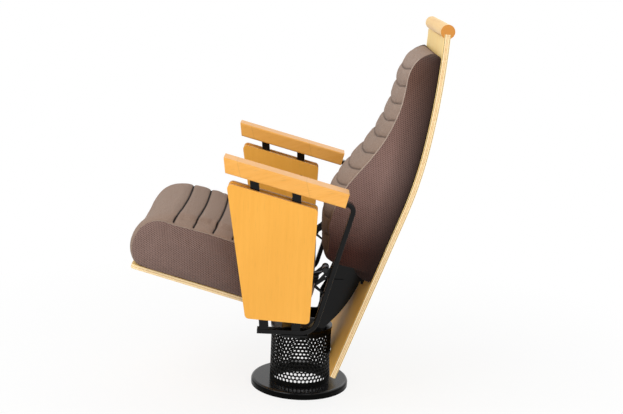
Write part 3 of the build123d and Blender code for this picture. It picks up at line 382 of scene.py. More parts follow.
# ---------------------------------------------------------------- mesh helpers
def make_object(name, points, faces, materials, indices=None, sharp=32):
    """A smooth-shaded mesh from points in millimetres, sharp above an angle."""
    mesh = bpy.data.meshes.new(name)
    mesh.from_pydata([Vector(p) * MM for p in points], [], faces)
    for m in materials:
        mesh.materials.append(MATERIALS[m])
    if indices is not None:
        mesh.polygons.foreach_set("material_index", indices)
    mesh.polygons.foreach_set("use_smooth", [True] * len(faces))
    mesh.update()
    if sharp:
        mesh.set_sharp_from_angle(angle=radians(sharp))
    obj = bpy.data.objects.new(name, mesh)
    bpy.context.scene.collection.objects.link(obj)
    return obj


def settle(obj, body, nodes):
    """Ride on a body and stand for CAD nodes."""
    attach(obj, body)
    if nodes:
        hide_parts(*nodes)


def rounded(corners, radius, steps=8):
    """Outline with its corners turned into arcs."""
    loop = []
    count = len(corners)
    for k in range(count):
        before, here, after = (Vector(corners[(k + d) % count]) for d in (-1, 0, 1))
        a, b = (before - here).normalized(), (after - here).normalized()
        half = acos(max(-1.0, min(1.0, a.dot(b)))) / 2
        reach = radius / tan(half)
        centre = here + (a + b).normalized() * (radius / sin(half))
        start, end = here + a * reach - centre, here + b * reach - centre
        first = atan2(start.y, start.x)
        turn = (atan2(end.y, end.x) - first + pi) % (2 * pi) - pi
        for i in range(steps + 1):
            angle = first + turn * i / steps
            loop.append(centre + Vector((cos(angle), sin(angle))) * radius)
    return loop


def drawn_in(loop, distance):
    """The same loop, moved inwards."""
    count = len(loop)
    area = sum(loop[k - 1].x * loop[k].y - loop[k].x * loop[k - 1].y for k in range(count))
    sign = 1 if area > 0 else -1
    moved = []
    for k in range(count):
        way = (loop[(k + 1) % count] - loop[k - 1]).normalized()
        moved.append(loop[k] + Vector((-way.y, way.x)) * distance * sign)
    return moved


# share of the sheet's thickness where a veneer starts, and its material
SHEET_VENEERS = (
    (0.0, "panel"), (0.09, "ply_glue"), (0.135, "ply_light"), (0.36, "ply_dark"), (0.43, "ply_light"),
    (0.56, "ply_dark"), (0.63, "ply_light"), (0.86, "ply_glue"), (0.93, "panel"),
)
PANEL_VENEERS = (
    (0.0, "panel"), (0.08, "ply_glue"), (0.14, "ply_dark"), (0.46, "panel"), (0.6, "ply_dark"),
    (0.86, "ply_glue"), (0.92, "panel"),
)
BOARD_VENEERS = (
    (0.0, "ply_dark"), (0.08, "ply_light"), (0.45, "ply_dark"), (0.54, "ply_light"), (0.94, "ply_dark"),
)


def ply_layers(low, high, round_off=0.8, marks=SHEET_VENEERS):
    """Levels through a plywood sheet: (level, drawn in by, material of the strip above)."""
    thick = high - low
    levels = [(low, round_off, "panel")]
    levels += [(low + max(share * thick, round_off), 0.0, tone) for share, tone in marks]
    levels += [(high - round_off, 0.0, "panel"), (high, round_off, None)]
    return levels


def ply_sheet(name, loop, levels, place, face):
    """Flat plywood sheet whose edge shows its veneers."""
    count, points, faces, tones = len(loop), [], [], []
    names = [face, "ply_light", "ply_dark", "ply_glue"]
    for level, inset, _ in levels:
        points += [place(p, level) for p in drawn_in(loop, inset)]
    for j, (_, _, tone) in enumerate(levels[:-1]):
        for k in range(count):
            n = (k + 1) % count
            faces.append((j * count + k, j * count + n, (j + 1) * count + n, (j + 1) * count + k))
            tones.append(names.index(tone) if tone in names else 0)
    faces.append(tuple(reversed(range(count))))
    faces.append(tuple((len(levels) - 1) * count + k for k in range(count)))
    tones += [0, 0]
    return make_object(name, points, faces, names, tones)


# ---------------------------------------------------------------- plywood
def side_panels():
    """Outer and inner panel of each side frame."""
    loop = rounded(PANEL_CORNERS, PANEL_CORNER_RADIUS)
    for side, sign in (("left", 1), ("right", -1)):
        for which, low in (("outer", PANEL_OUTER_X), ("inner", PANEL_INNER_X)):
            name = f"panel_{which}_{side}"
            levels = ply_layers(low, low + PANEL_THICK, marks=PANEL_VENEERS)
            panel = ply_sheet(name, loop, levels, lambda p, x, s=sign: (s * x, p.x, p.y), "panel")
            if sign < 0:
                panel.data.flip_normals()
            settle(panel, "stand", [f"side_panel_{which}_{side}"])


def on_seat(x, along, above):
    """Point of the seat: x, distance along the board to the rear, height above it."""
    c, s = cos(SEAT_FALL), sin(SEAT_FALL)
    return (x, along * c + above * s, SEAT_ORIGIN_Z - along * s + above * c)


def seat_board():
    """Flat board under the seat cushion."""
    half, front, rear = BOARD_HALF, BOARD_FRONT, BOARD_REAR
    loop = rounded(((-half, front), (half, front), (half, rear), (-half, rear)), BOARD_CORNER)
    levels = ply_layers(0, BOARD_THICK, marks=BOARD_VENEERS)
    board = ply_sheet("seat_board", loop, levels, lambda p, h: on_seat(p.x, p.y, h), "shell")
    settle(board, "seat", ["seat_shell"])


def shell_path(step=12.0):
    """Middle line of the back shell: (y, z, lean) at steps along it."""
    y, z = SHELL_FOOT
    lean = SHELL_LEAN
    count = ceil(SHELL_STRAIGHT / step)
    line = []
    for k in range(count + 1):
        run = SHELL_STRAIGHT * k / count
        line.append((y + run * sin(lean), z + run * cos(lean), lean))
    for radius, turn in zip(SHELL_RADII, SHELL_TURNS):
        y, z, lean = line[-1]
        cy, cz = y - radius * cos(lean), z + radius * sin(lean)
        count = ceil(radius * radians(turn) / step)
        for k in range(1, count + 1):
            a = lean - radians(turn) * k / count
            line.append((cy + radius * cos(a), cz - radius * sin(a), a))
    return line


def back_board():
    """Curved shell: veneers along its sides and ends, one sheet front and rear."""
    half = SHELL_THICK / 2
    levels = ply_layers(-half, half)
    line = shell_path()
    relief = TUBE_RADIUS + 3.0
    names = ["shell", "ply_light", "ply_dark", "ply_glue"]
    columns = [-SHELL_HALF, -78, -66, -52, -36, -18, 0, 18, 36, 52, 66, 78, SHELL_HALF]
    points, faces, tones = [], [], []
    last, top, side = len(line) - 1, len(levels) - 1, len(columns) - 1
    for row, (y, z, lean) in enumerate(line):
        ends = {0: 1, last: -1}.get(row, 0)
        for level, inset, _ in levels:
            for x in columns:
                dx = inset if x == -SHELL_HALF else -inset if x == SHELL_HALF else 0
                py = y - level * cos(lean) + ends * inset * sin(lean)
                pz = z + level * sin(lean) + ends * inset * cos(lean)
                if hypot(x, py) < relief and pz < TUBE_TOP:
                    py = sqrt(relief**2 - x**2)
                points.append((x + dx, py, pz))

    def quad(tone, *spots):
        """One face through four spots, each a row, a level and a column."""
        faces.append(tuple((row * (top + 1) + level) * (side + 1) + column for row, level, column in spots))
        tones.append(names.index(tone) if tone in names else 0)

    for row in range(last):
        up = row + 1
        for k in range(side):
            quad("shell", (row, 0, k), (row, 0, k + 1), (up, 0, k + 1), (up, 0, k))
            quad("shell", (row, top, k + 1), (row, top, k), (up, top, k), (up, top, k + 1))
        for j in range(top):
            tone = levels[j][2]
            quad(tone, (row, j, 0), (up, j, 0), (up, j + 1, 0), (row, j + 1, 0))
            quad(tone, (up, j, side), (row, j, side), (row, j + 1, side), (up, j + 1, side))
    for j in range(top):
        for k in range(side):
            quad(levels[j][2], (0, j, k + 1), (0, j, k), (0, j + 1, k), (0, j + 1, k + 1))
            quad(levels[j][2], (last, j, k), (last, j, k + 1), (last, j + 1, k + 1), (last, j + 1, k))
    board = make_object("back_board", points, faces, names, tones)
    settle(board, "stand", ["back_shell"])


# ---------------------------------------------------------------- perforated tube
def perforated_tube():
    """Rolled sheet with staggered round holes right through it, each in a patch of its own."""
    pitch = 2 * pi * TUBE_RADIUS / HOLES_ROUND
    tall = (HOLES_HIGH - HOLES_LOW) / HOLE_ROWS
    steps = 4  # along each side of a patch
    ring = [(i, -2) for i in range(-2, 2)] + [(2, j) for j in range(-2, 2)]
    ring += [(i, 2) for i in range(2, -2, -1)] + [(-2, j) for j in range(2, -2, -1)]
    links = [(a, (a + 1) % len(ring)) for a in range(len(ring))]
    index, points, faces = {}, [], []
    around = HOLES_ROUND * steps

    def corner(u, z, depth):
        key = (u % around, round(z, 3), depth)
        if key not in index:
            index[key] = len(points)
            a = 2 * pi * (u % around) / around
            points.append(((TUBE_RADIUS - depth) * cos(a), (TUBE_RADIUS - depth) * sin(a), z))
        return index[key]

    def loose(u, z, depth):
        a = u / TUBE_RADIUS
        points.append(((TUBE_RADIUS - depth) * cos(a), (TUBE_RADIUS - depth) * sin(a), z))
        return len(points) - 1

    for row in range(HOLE_ROWS):
        middle = HOLES_LOW + (row + 0.5) * tall
        for k in range(HOLES_ROUND):
            start = steps * k + (steps // 2 if row % 2 else 0)
            walls = []
            for depth in (0.0, TUBE_WALL):
                rim, hole = [], []
                for i, j in ring:
                    rim.append(corner(start + i, middle + j * tall / steps, depth))
                    way = Vector((i * pitch / steps, j * tall / steps)).normalized() * HOLE_RADIUS
                    hole.append(loose(start * pitch / steps + way.x, middle + way.y, depth))
                for a, b in links:
                    face = (rim[a], rim[b], hole[b], hole[a])
                    faces.append(face if depth == 0 else face[::-1])
                walls.append(hole)
            outer, inner = walls
            for a, b in links:
                faces.append((outer[a], outer[b], inner[b], inner[a]))
    for z1, z2 in ((TUBE_LOW, HOLES_LOW), (HOLES_HIGH, TUBE_TOP)):
        for k in range(around):
            for depth in (0.0, TUBE_WALL):
                face = tuple(corner(u, z, depth) for u, z in ((k, z1), (k + 1, z1), (k + 1, z2), (k, z2)))
                faces.append(face if depth == 0 else face[::-1])
    for z, order in ((TUBE_LOW, -1), (TUBE_TOP, 1)):
        for k in range(around):
            spots = ((k, 0.0), (k + 1, 0.0), (k + 1, TUBE_WALL), (k, TUBE_WALL))
            faces.append(tuple(corner(u, z, depth) for u, depth in spots)[::order])
    tube = make_object("perforated_tube", points, faces, ["tube"], sharp=40)
    settle(tube, "stand", ["pedestal_tube"])


# ---------------------------------------------------------------- cushions
def smooth_loop(points, spacing=5.0):
    """Closed smooth curve through points, sampled evenly."""
    pts = [Vector(p) for p in points]
    count, dense = len(pts), []
    for k in range(count):
        p0, p1, p2, p3 = (pts[(k + d) % count] for d in (-1, 0, 1, 2))
        t0, t1 = 0.0, max((p1 - p0).length, 1e-6) ** 0.5
        t2 = t1 + max((p2 - p1).length, 1e-6) ** 0.5
        t3 = t2 + max((p3 - p2).length, 1e-6) ** 0.5
        for i in range(24):
            t = t1 + (t2 - t1) * i / 24
            a1 = p0 * ((t1 - t) / (t1 - t0)) + p1 * ((t - t0) / (t1 - t0))
            a2 = p1 * ((t2 - t) / (t2 - t1)) + p2 * ((t - t1) / (t2 - t1))
            a3 = p2 * ((t3 - t) / (t3 - t2)) + p3 * ((t - t2) / (t3 - t2))
            b1 = a1 * ((t2 - t) / (t2 - t0)) + a2 * ((t - t0) / (t2 - t0))
            b2 = a2 * ((t3 - t) / (t3 - t1)) + a3 * ((t - t1) / (t3 - t1))
            dense.append(b1 * ((t2 - t) / (t2 - t1)) + b2 * ((t - t1) / (t2 - t1)))
    lengths = np.cumsum([0.0] + [(dense[(k + 1) % len(dense)] - dense[k]).length for k in range(len(dense))])
    ring = np.array([tuple(p) for p in dense] + [tuple(dense[0])])
    total = max(24, round(lengths[-1] / spacing))
    where = np.linspace(0, lengths[-1], total, endpoint=False)
    return np.stack([np.interp(where, lengths, ring[:, i]) for i in range(2)], axis=1)


def swell(loops, name):
    """Closed mesh through loops of equal length, with its two ends shut."""
    count = len(loops[0])
    points = [tuple(p) for loop in loops for p in loop]
    faces = []
    for j in range(len(loops) - 1):
        for k in range(count):
            n = (k + 1) % count
            faces.append((j * count + k, (j + 1) * count + k, (j + 1) * count + n, j * count + n))
    faces.append(tuple(range(count)))
    faces.append(tuple(reversed(range((len(loops) - 1) * count, len(loops) * count))))
    return make_object(name, points, faces, [], sharp=0)


def applied(obj):
    """Take the result of the object's modifiers as its mesh."""
    graph = bpy.context.evaluated_depsgraph_get()
    mesh = bpy.data.meshes.new_from_object(obj.evaluated_get(graph))
    old = obj.data
    obj.modifiers.clear()
    obj.data = mesh
    bpy.data.meshes.remove(old)
    return obj


def remeshed(obj, size):
    """An even grid of points over the object, smoothed a little."""
    grid = obj.modifiers.new("grid", "REMESH")
    grid.mode = "VOXEL"
    grid.voxel_size = size * MM
    applied(obj)
    ease = obj.modifiers.new("ease", "SMOOTH")
    ease.factor, ease.iterations = 0.5, 6
    return applied(obj)


def finer(obj):
    """One level of subdivision."""
    cut = obj.modifiers.new("finer", "SUBSURF")
    cut.levels = cut.render_levels = 1
    return applied(obj)


def inflate(obj, held, cap, pressure=4.0):
    """Puff the cover up with cloth simulation; held points stay, none moves over the cap."""
    before = coords(obj)
    group = obj.vertex_groups.new(name="held")
    group.add([int(k) for k in np.nonzero(held(before))[0]], 1.0, "REPLACE")
    cloth = obj.modifiers.new("cloth", "CLOTH")
    s = cloth.settings
    s.use_pressure, s.uniform_pressure_force = True, pressure
    s.vertex_group_mass = "held"
    s.effector_weights.gravity = 0
    s.quality = 5
    cloth.point_cache.frame_start, cloth.point_cache.frame_end = 1, CLOTH_FRAMES
    scene = bpy.context.scene
    for frame_number in range(1, CLOTH_FRAMES + 1):
        scene.frame_set(frame_number)
        bpy.context.view_layer.update()
    applied(obj)
    scene.frame_set(1)
    after = coords(obj)
    move = after - before
    size = np.linalg.norm(move, axis=1, keepdims=True)
    move *= np.minimum(1.0, cap / np.maximum(size, 1e-9))
    set_coords(obj, before + move)


def coords(obj):
    """Vertex coordinates in millimetres."""
    co = np.empty(len(obj.data.vertices) * 3, np.float32)
    obj.data.vertices.foreach_get("co", co)
    return co.reshape(-1, 3).astype(float) / MM


def set_coords(obj, co):
    obj.data.vertices.foreach_set("co", (co * MM).astype(np.float32).ravel())
    obj.data.update()


def normals(obj):
    """Vertex normals."""
    n = np.empty(len(obj.data.vertices) * 3, np.float32)
    obj.data.vertex_normals.foreach_get("vector", n)
    return n.reshape(-1, 3).astype(float)


def channel(value, grooves, fullness=3.0):
    """1 in the middle of a channel, 0 in a groove, along an axis with grooves at places."""
    marks = np.sort(np.array(grooves, float))
    step = abs(marks[1] - marks[0])
    marks = np.concatenate([[marks[0] - 2 * step], marks, [marks[-1] + 2 * step]])
    k = np.clip(np.searchsorted(marks, value) - 1, 0, len(marks) - 2)
    low, high = marks[k], marks[k + 1]
    gap = np.minimum(value - low, high - value)
    reach = np.minimum((high - low) / 2, step / 2)
    phase = np.clip(1 - gap / reach, 0, 1)
    return 1 - phase**fullness


def step_up(value, low, high):
    """0 below low, 1 above high and a smooth rise between them."""
    t = np.clip((value - low) / (high - low), 0, 1)
    return t * t * (3 - 2 * t)


def ridge(distance, width):
    """1 on a line, soon falling to 0 beside it."""
    return np.exp(-((distance / width) ** 2))


def rumple(co, size, seed):
    """Slow uneven swelling, about -1 to 1."""
    return np.array([noise.noise(Vector(p) / size + Vector((seed, 0, 0))) for p in co])


def seat_local(co):
    """(x, along, above) of points of the seat."""
    c, s = cos(SEAT_FALL), sin(SEAT_FALL)
    y, z = co[:, 1], co[:, 2] - SEAT_ORIGIN_Z
    return co[:, 0], y * c - z * s, y * s + z * c


# side view of the seat pad: distance along the board, height above its underside
SEAT_OUTLINE = (
    (-396, 11.6), (-412, 14.5), (-427, 27), (-436, 48), (-438, 72), (-433.5, 98), (-424, 118),
    (-408, 134), (-384, 143.5), (-350, 148.5), (-300, 152), (-250, 153.5), (-200, 152), (-150, 149),
    (-110, 145.5), (-62, 139.5), (-28, 135), (-6, 128), (4, 112), (8, 74), (6, 30), (-6, 13),
    (-22, 11.6), (-110, SEAT_PAD_LOW), (-210, SEAT_PAD_LOW), (-320, SEAT_PAD_LOW),
)
# distance from the middle, share of the full length and lower height, share of the height above
SEAT_EDGE = (
    (217.5, 0.5, 0.44), (217, 0.76, 0.63), (215.5, 0.86, 0.76), (212, 0.915, 0.855), (206, 0.95, 0.91),
    (199, 0.975, 0.945), (190, 0.99, 0.97), (178, 0.997, 0.988), (164, 1.0, 0.996),
)


def seat_cushion():
    """Seat pad: full nose, dished middle, sides drawn in to the board."""
    centre = np.array((-208.0, 70.0))
    loops = []
    stations = [(-x, *rest) for x, *rest in SEAT_EDGE] + [(x, 1.0, 1.0) for x in range(-140, 141, 20)]
    stations += [(x, *rest) for x, *rest in reversed(SEAT_EDGE)]
    base = smooth_loop(SEAT_OUTLINE)
    for x, fill, above in stations:
        upright = np.where(base[:, 1] > centre[1], above, fill)
        lengthwise = np.full(len(base), 1 - (1 - fill) * 0.55)
        loop = centre + (base - centre) * np.stack([lengthwise, upright], axis=1)
        dish = SEAT_DISH * (1 - (x / SEAT_DISH_HALF) ** 2) if abs(x) < SEAT_DISH_HALF else 0.0
        loop[:, 1] -= dish * np.clip((loop[:, 1] - 60) / 70, 0, 1)
        loop[:, 0] += dish * np.clip((-390 - loop[:, 0]) / 30, 0, 1)
        loop[:, 1] = np.maximum(loop[:, 1], SEAT_PAD_LOW)
        loops.append([on_seat(x, y, z) for y, z in loop])
    pad = remeshed(swell(loops, "seat_pad"), PAD_GRID)
    inflate(pad, lambda co: seat_local(co)[2] < 20, SEAT_PUFF)
    finer(pad)
    co, n = coords(pad), normals(pad)
    x, along, above = seat_local(co)
    top = step_up(n[:, 1] * sin(SEAT_FALL) + n[:, 2] * cos(SEAT_FALL), 0.3, 0.7)
    bow = SEAT_BOW * (1 - np.clip(np.abs(x) / SEAT_DISH_HALF, 0, 1) ** 2)
    bow = bow - SEAT_HOOK * step_up(np.abs(x), 176, SEAT_SEAM_X)
    full = channel(along - bow, SEAT_GROOVES)
    inside = step_up(SEAT_SEAM_X - np.abs(x), 0, 7)
    nose = np.where(along < SEAT_GROOVES[0], 1 - step_up(SEAT_GROOVES[0] - along, 12, 40), 1.0)
    tail = np.where(along > SEAT_GROOVES[-1], 1 - step_up(along - SEAT_GROOVES[-1], 12, 40), 1.0)
    sink = SEAT_GROOVE_DEPTH * (1 - full) * top * inside * nose * tail
    width, depth = SEAT_CREASE
    crease = np.zeros(len(co))
    for g in SEAT_GROOVES:
        crease += ridge(along - bow - g, width) * top * inside
    seam = ridge(np.abs(x) - SEAT_SEAM_X, SEAT_DIP[0]) * SEAT_DIP[1] * (above > 24)
    soft = rumple(co, 70, 3) * 1.0 + rumple(co, 26, 8) * 0.35
    co += n * ((soft - sink - crease * depth - seam) * (above > 13))[:, None]
    set_coords(pad, co)
    # painted shade: the side cloth of the seat darkens towards its rear, under the back
    shade = (np.abs(x) > SEAT_SEAM_X) * (0.06 + 0.42 * step_up(along, -380, -110))
    mark_painted_shade(pad, np.maximum(crease, shade))
    paint_regions(pad, lambda c: np.abs(c[:, 0]) < SEAT_SEAM_X, "seat_side", "front")
    settle(pad, "seat", ["seat_cushion"])
    return pad


def mark_painted_shade(obj, depth):
    """Keep, from 0 to 1, how much painted shade each point takes, from its creases or its shaded side, for
    the fabric's colour.
    """
    painted_shade = obj.data.attributes.new("painted_shade", "FLOAT", "POINT")
    painted_shade.data.foreach_set("value", np.clip(depth, 0, 1).astype(np.float32))


def paint_regions(obj, is_front, side, weave):
    """Fine weave where is_front says so, open mesh elsewhere."""
    obj.data.materials.clear()
    for m in (side, weave):
        obj.data.materials.append(MATERIALS[m])
    centres = np.empty(len(obj.data.polygons) * 3, np.float32)
    obj.data.polygons.foreach_get("center", centres)
    front = is_front(centres.reshape(-1, 3) / MM)
    obj.data.polygons.foreach_set("material_index", front.astype(np.int32))
    obj.data.polygons.foreach_set("use_smooth", [True] * len(front))
    obj.data.update()


def shell_front(z, gap=7.3):
    """y of the shell's front face at heights z, moved forward by gap from its middle line."""
    line = shell_path(4.0)
    ys = [y - gap * cos(a) for y, _, a in line]
    zs = [h + gap * sin(a) for _, h, a in line]
    return np.interp(z, zs, ys)


def back_depth(z):
    """Full depth of the back cushion, level, at a height: a smooth curve through the stations."""
    zs = np.array([856.0, 850.0, 834.0] + [s[0] for s in BACK_STATIONS][:-1] + [358.0])
    ds = np.array([22.0, 40.0, 54.0] + [s[1] + p for s, p in zip(BACK_STATIONS, BACK_DRAWN)] + [126.0])
    order = np.argsort(zs)
    zs, ds = zs[order], ds[order]
    slopes = np.gradient(ds, zs)
    k = np.clip(np.searchsorted(zs, z) - 1, 0, len(zs) - 2)
    h = zs[k + 1] - zs[k]
    t = np.clip((z - zs[k]) / h, 0, 1)
    return ((2 * t**3 - 3 * t**2 + 1) * ds[k] + (t**3 - 2 * t**2 + t) * h * slopes[k]
            + (-2 * t**3 + 3 * t**2) * ds[k + 1] + (t**3 - t**2) * h * slopes[k + 1])


# distance from the middle, share of the full depth higher up and low down
FULLNESS = (
    (0, 1.0, 1.0), (70, 0.985, 0.992), (110, 0.965, 0.985), (125, 0.94, 0.975), (140, 0.84, 0.89),
    (160, 0.62, 0.68), (175, 0.38, 0.44), (184, 0.19, 0.23), (188, 0.09, 0.1),
)


def fullness(x, z):
    """Share of the full depth at a distance from the middle; more of it low down."""
    above, below = (np.interp(abs(x), [f[0] for f in FULLNESS], [f[k] for f in FULLNESS]) for k in (1, 2))
    return below + (above - below) * np.clip((z - 430) / 130, 0, 1)


def back_loop(x):
    """Section of the back cushion at x: front from top to bottom, hem, rear."""
    heights = np.arange(834, 372, -14.0)
    front = [(float(shell_front(z)) - float(back_depth(z) * fullness(x, z)), z) for z in heights]
    share = float(fullness(x, 834))
    crown = [(855, 3), (857, 13), (854, 26), (846, 40)]
    top = [(float(shell_front(z)) - d * (0.25 + 0.75 * share), z) for z, d in crown]
    foot = [(361, 126), (353, 112), (350, 92), (351, 66), (344, 48), (328, 38)]
    foot += [(322, 28), (321, 12), (322, 1)]
    lift = float(step_up(MOUNT_PLATE_HALF + 30 - abs(x), 0, 28))
    foot = [(z + max(MIDDLE_HEM_Z - z, 0) * lift, d) for z, d in foot]
    share = float(fullness(x, 350))
    hem = [(float(shell_front(z)) - max(d * share, 0.8), z) for z, d in foot]
    rear = [(float(shell_front(z)), z) for z in np.arange(372, 850, 30.0)]
    return smooth_loop(top + front + hem + rear)


def back_cushion():
    """Back pad: deep lumbar, sides that fall away to the shell, arched channels."""
    stations = [-188.6, -187, -184, -178, -169, -158, -146, -134, -122, -108] + list(range(-90, 91, 18))
    stations += [-x for x in reversed(stations[:10])]
    count = len(back_loop(0))
    loops = []
    for x in stations:
        loop = back_loop(x)
        where = np.linspace(0, len(loop), count, endpoint=False)
        closed = np.vstack([loop, loop[:1]])
        even = np.stack([np.interp(where, np.arange(len(closed)), closed[:, i]) for i in range(2)], axis=1)
        loops.append([(x, y, z) for y, z in even])
    pad = remeshed(swell(loops, "back_pad"), PAD_GRID)
    inflate(pad, lambda co: (shell_front(co[:, 2]) - co[:, 1] < 9) | (co[:, 2] < 345), BACK_PUFF)
    finer(pad)
    co, n = coords(pad), normals(pad)
    x, y, z = co.T
    depth = shell_front(z) - y
    face = step_up(-n[:, 1] + 0.25 * n[:, 2], 0.15, 0.45) * (depth > 20)
    rise = BACK_BOW * np.clip(np.abs(x) / BACK_SEAM_X, 0, 1) ** 2
    heights = [s[0] for s in BACK_STATIONS][:-1]
    level = z - rise - BACK_LIFT
    inside = step_up(BACK_SEAM_X - np.abs(x), 0, 7)
    top_end = 1 - step_up(level - heights[0], 10, 34)
    low_end = 1 - step_up(heights[-1] - level, 14, 40)
    sink = BACK_GROOVE_DEPTH * (1 - channel(level, heights)) * face * inside * top_end * low_end
    crease = sum(ridge(level - h, BACK_CREASE[0]) for h in heights) * face * inside
    seam = ridge(np.abs(x) - BACK_SEAM_X, BACK_DIP[0]) * BACK_DIP[1] * (depth > 20)
    soft = rumple(co, 80, 11) * 1.4 + rumple(co, 30, 5) * 0.3
    away = step_up(depth, 4, 30)
    co += n * ((soft - sink - crease * BACK_CREASE[1] - seam) * away)[:, None]
    set_coords(pad, co)
    # painted shade: the side cloth darkens near the shell, and the creases take a little painted shade too
    shell_side_shade = (np.abs(x) > BACK_SEAM_X) * np.clip(1.1 - depth / 60, 0, 1)
    mark_painted_shade(pad, np.maximum(crease * 0.36, shell_side_shade))

    def is_front(c):
        return (np.abs(c[:, 0]) < BACK_SEAM_X) & (shell_front(c[:, 2]) - c[:, 1] > 12)

    paint_regions(pad, is_front, "back_side", "back_front")
    settle(pad, "stand", ["back_cushion"])
    return pad


def seam_line(name, pad, starts, way, body, radius, thread):
    """Thin raised seam laid on a pad, found by looking at it from outside."""
    graph = bpy.context.evaluated_depsgraph_get()
    tree = BVHTree.FromObject(pad, graph)
    hits = []
    for start in starts:
        spot, normal, _, _ = tree.ray_cast(Vector(start) * MM, way)
        if spot is not None:
            hits.append(spot + normal * radius * 0.35 * MM)
    data = bpy.data.curves.new(name, "CURVE")
    data.dimensions = "3D"
    data.bevel_depth = radius * MM
    data.bevel_resolution = 2
    spline = data.splines.new("POLY")
    spline.points.add(len(hits) - 1)
    for point, hit in zip(spline.points, hits):
        point.co = (*hit, 1)
    data.materials.append(MATERIALS[thread])
    obj = bpy.data.objects.new(name, data)
    bpy.context.scene.collection.objects.link(obj)
    settle(obj, body, [])


def seams(seat_pad, back_pad):
    """Cords down both sides of the two channelled fronts."""
    for side, sign in (("left", 1), ("right", -1)):
        x = sign * BACK_SEAM_X
        starts = [(x, -200, z) for z in np.arange(374, 846, 6.0)]
        seam_line(f"back_seam_{side}", back_pad, starts, Vector((0, 1, 0)), "stand", BACK_CORD, "back_seam")
        x = sign * SEAT_SEAM_X
        c, s = cos(SEAT_FALL), sin(SEAT_FALL)
        top = [on_seat(x, along, 300) for along in np.arange(-8, -400, -6.0)]
        seam_line(f"seat_seam_{side}", seat_pad, top, Vector((0, -s, -c)), "seat", SEAT_CORD, "seam")


# ---------------------------------------------------------------- CAD nodes that keep their shape
NODE_PAINT = {
    "floor_flange": "black", "flange_cover": "cover", "top_plate": "black", "cross_beam": "black",
    "beam_bolts": "bolt", "frame_bolts": "bolt", "armrest_screws": "bolt", "panel_screws": "bright",
    "seat_bolts": "bolt", "shell_bolts": "bolt", "top_rail": "rail", "back_mount_plate": "black",
    "bracket_tie": "black", "side_frame": "black", "frame_end_cap": "plastic", "front_post": "black",
    "rear_post": "black", "armrest": "arm", "pivot_lug": "black", "pivot_pin": "bolt",
    "retaining_ring": "spring", "torsion_spring": "spring", "stop_buffer": "rubber",
    "seat_arm": "black", "arm_bush": "plastic", "back_bracket": "black",
}


def paint_nodes():
    """Materials of the CAD nodes that are shown; the cover's rim has one of its own, a darker and duller
    copy of the cover's paint as painted shade.
    """
    for name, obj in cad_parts.items():
        plain = name.removesuffix("_left").removesuffix("_right")
        if plain in NODE_PAINT:
            obj.data.materials.clear()
            obj.data.materials.append(MATERIALS[NODE_PAINT[plain]])
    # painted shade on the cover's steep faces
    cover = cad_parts["flange_cover"].data
    cover.materials.append(MATERIALS["rim"])
    for face in cover.polygons:
        face.material_index = int(face.normal.z < 0.5)


# ---------------------------------------------------------------- stage and light
def lamp(name, place, target, size, power):
    """White square lamp that looks at its target; metres and watts."""
    data = bpy.data.lights.new(name, "AREA")
    data.shape, data.size, data.energy = "SQUARE", size, power
    obj = bpy.data.objects.new(name, data)
    obj.location = place
    obj.rotation_euler = (Vector(target) - Vector(place)).to_track_quat("-Z", "Y").to_euler()
    bpy.context.scene.collection.objects.link(obj)


def seen_rays(tree):
    """1 for camera, glossy and transmission rays."""
    path = tree.nodes.new("ShaderNodeLightPath")
    total = None
    for name in ("Is Camera Ray", "Is Glossy Ray", "Is Transmission Ray"):
        if total is None:
            total = path.outputs[name]
            continue
        add = tree.nodes.new("ShaderNodeMath")
        add.operation, add.use_clamp = "ADD", True
        tree.links.new(total, add.inputs[0])
        tree.links.new(path.outputs[name], add.inputs[1])
        total = add.outputs[0]
    return total


def make_world():
    """Pure white to the camera and in reflections, softer light on surfaces."""
    world = bpy.data.worlds.new("studio")
    bpy.context.scene.world = world
    world.use_nodes = True
    tree = world.node_tree
    tree.nodes.clear()
    soft, white = tree.nodes.new("ShaderNodeBackground"), tree.nodes.new("ShaderNodeBackground")
    soft.inputs[0].default_value, soft.inputs[1].default_value = (1, 1, 1, 1), 0.62
    white.inputs[0].default_value, white.inputs[1].default_value = (1, 1, 1, 1), 1.0
    mix, out = tree.nodes.new("ShaderNodeMixShader"), tree.nodes.new("ShaderNodeOutputWorld")
    tree.links.new(seen_rays(tree), mix.inputs[0])
    tree.links.new(soft.outputs[0], mix.inputs[1])
    tree.links.new(white.outputs[0], mix.inputs[2])
    tree.links.new(mix.outputs[0], out.inputs[0])


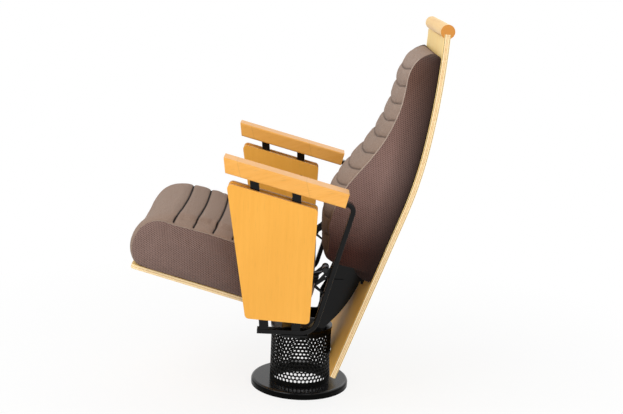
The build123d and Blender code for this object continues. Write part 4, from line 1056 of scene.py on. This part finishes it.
def make_floor():
    """Floor that keeps a soft shadow near the seat and glows white further out."""
    mat = bpy.data.materials.new("floor")
    mat.use_nodes = True
    tree = mat.node_tree
    tree.nodes.clear()
    matt, glow = tree.nodes.new("ShaderNodeBsdfDiffuse"), tree.nodes.new("ShaderNodeEmission")
    matt.inputs[0].default_value = (0.86, 0.86, 0.86, 1)
    spot, far = tree.nodes.new("ShaderNodeTexCoord"), tree.nodes.new("ShaderNodeVectorMath")
    far.operation = "LENGTH"
    tree.links.new(spot.outputs["Object"], far.inputs[0])
    reach = tree.nodes.new("ShaderNodeMapRange")
    for key, value in ((1, 0.3), (2, 1.3), (3, 0.82), (4, 1.0)):
        reach.inputs[key].default_value = value
    tree.links.new(far.outputs["Value"], reach.inputs[0])
    share = tree.nodes.new("ShaderNodeMath")
    share.operation = "MULTIPLY"
    tree.links.new(reach.outputs[0], share.inputs[1])
    mix, out = tree.nodes.new("ShaderNodeMixShader"), tree.nodes.new("ShaderNodeOutputMaterial")
    tree.links.new(seen_rays(tree), share.inputs[0])
    tree.links.new(share.outputs[0], mix.inputs[0])
    tree.links.new(matt.outputs[0], mix.inputs[1])
    tree.links.new(glow.outputs[0], mix.inputs[2])
    tree.links.new(mix.outputs[0], out.inputs[0])
    mesh = bpy.data.meshes.new("floor")
    half = 9.0
    corners = [(-half, -half, 0), (half, -half, 0), (half, half, 0), (-half, half, 0)]
    mesh.from_pydata(corners, [], [(0, 1, 2, 3)])
    mesh.materials.append(mat)
    floor = bpy.data.objects.new("floor", mesh)
    bpy.context.scene.collection.objects.link(floor)


def make_stage():
    """World, floor and the three lamps round the seat."""
    make_world()
    make_floor()
    lamp("key", (1.8, -1.9, 2.9), (0, 0, 0.45), 2.4, 62)
    lamp("fill", (2.5, 0.95, 1.25), (0, 0, 0.5), 2.0, 13.5)
    lamp("back", (-2.2, 1.4, 2.2), (0, 0, 0.5), 2.0, 18)
    bpy.context.scene.view_settings.view_transform = "Standard"


# ---------------------------------------------------------------- build
def main():
    make_camera()
    make_materials()
    make_stage()
    side_panels()
    seat_board()
    back_board()
    perforated_tube()
    seat_pad = seat_cushion()
    back_pad = back_cushion()
    seams(seat_pad, back_pad)
    paint_nodes()


main()
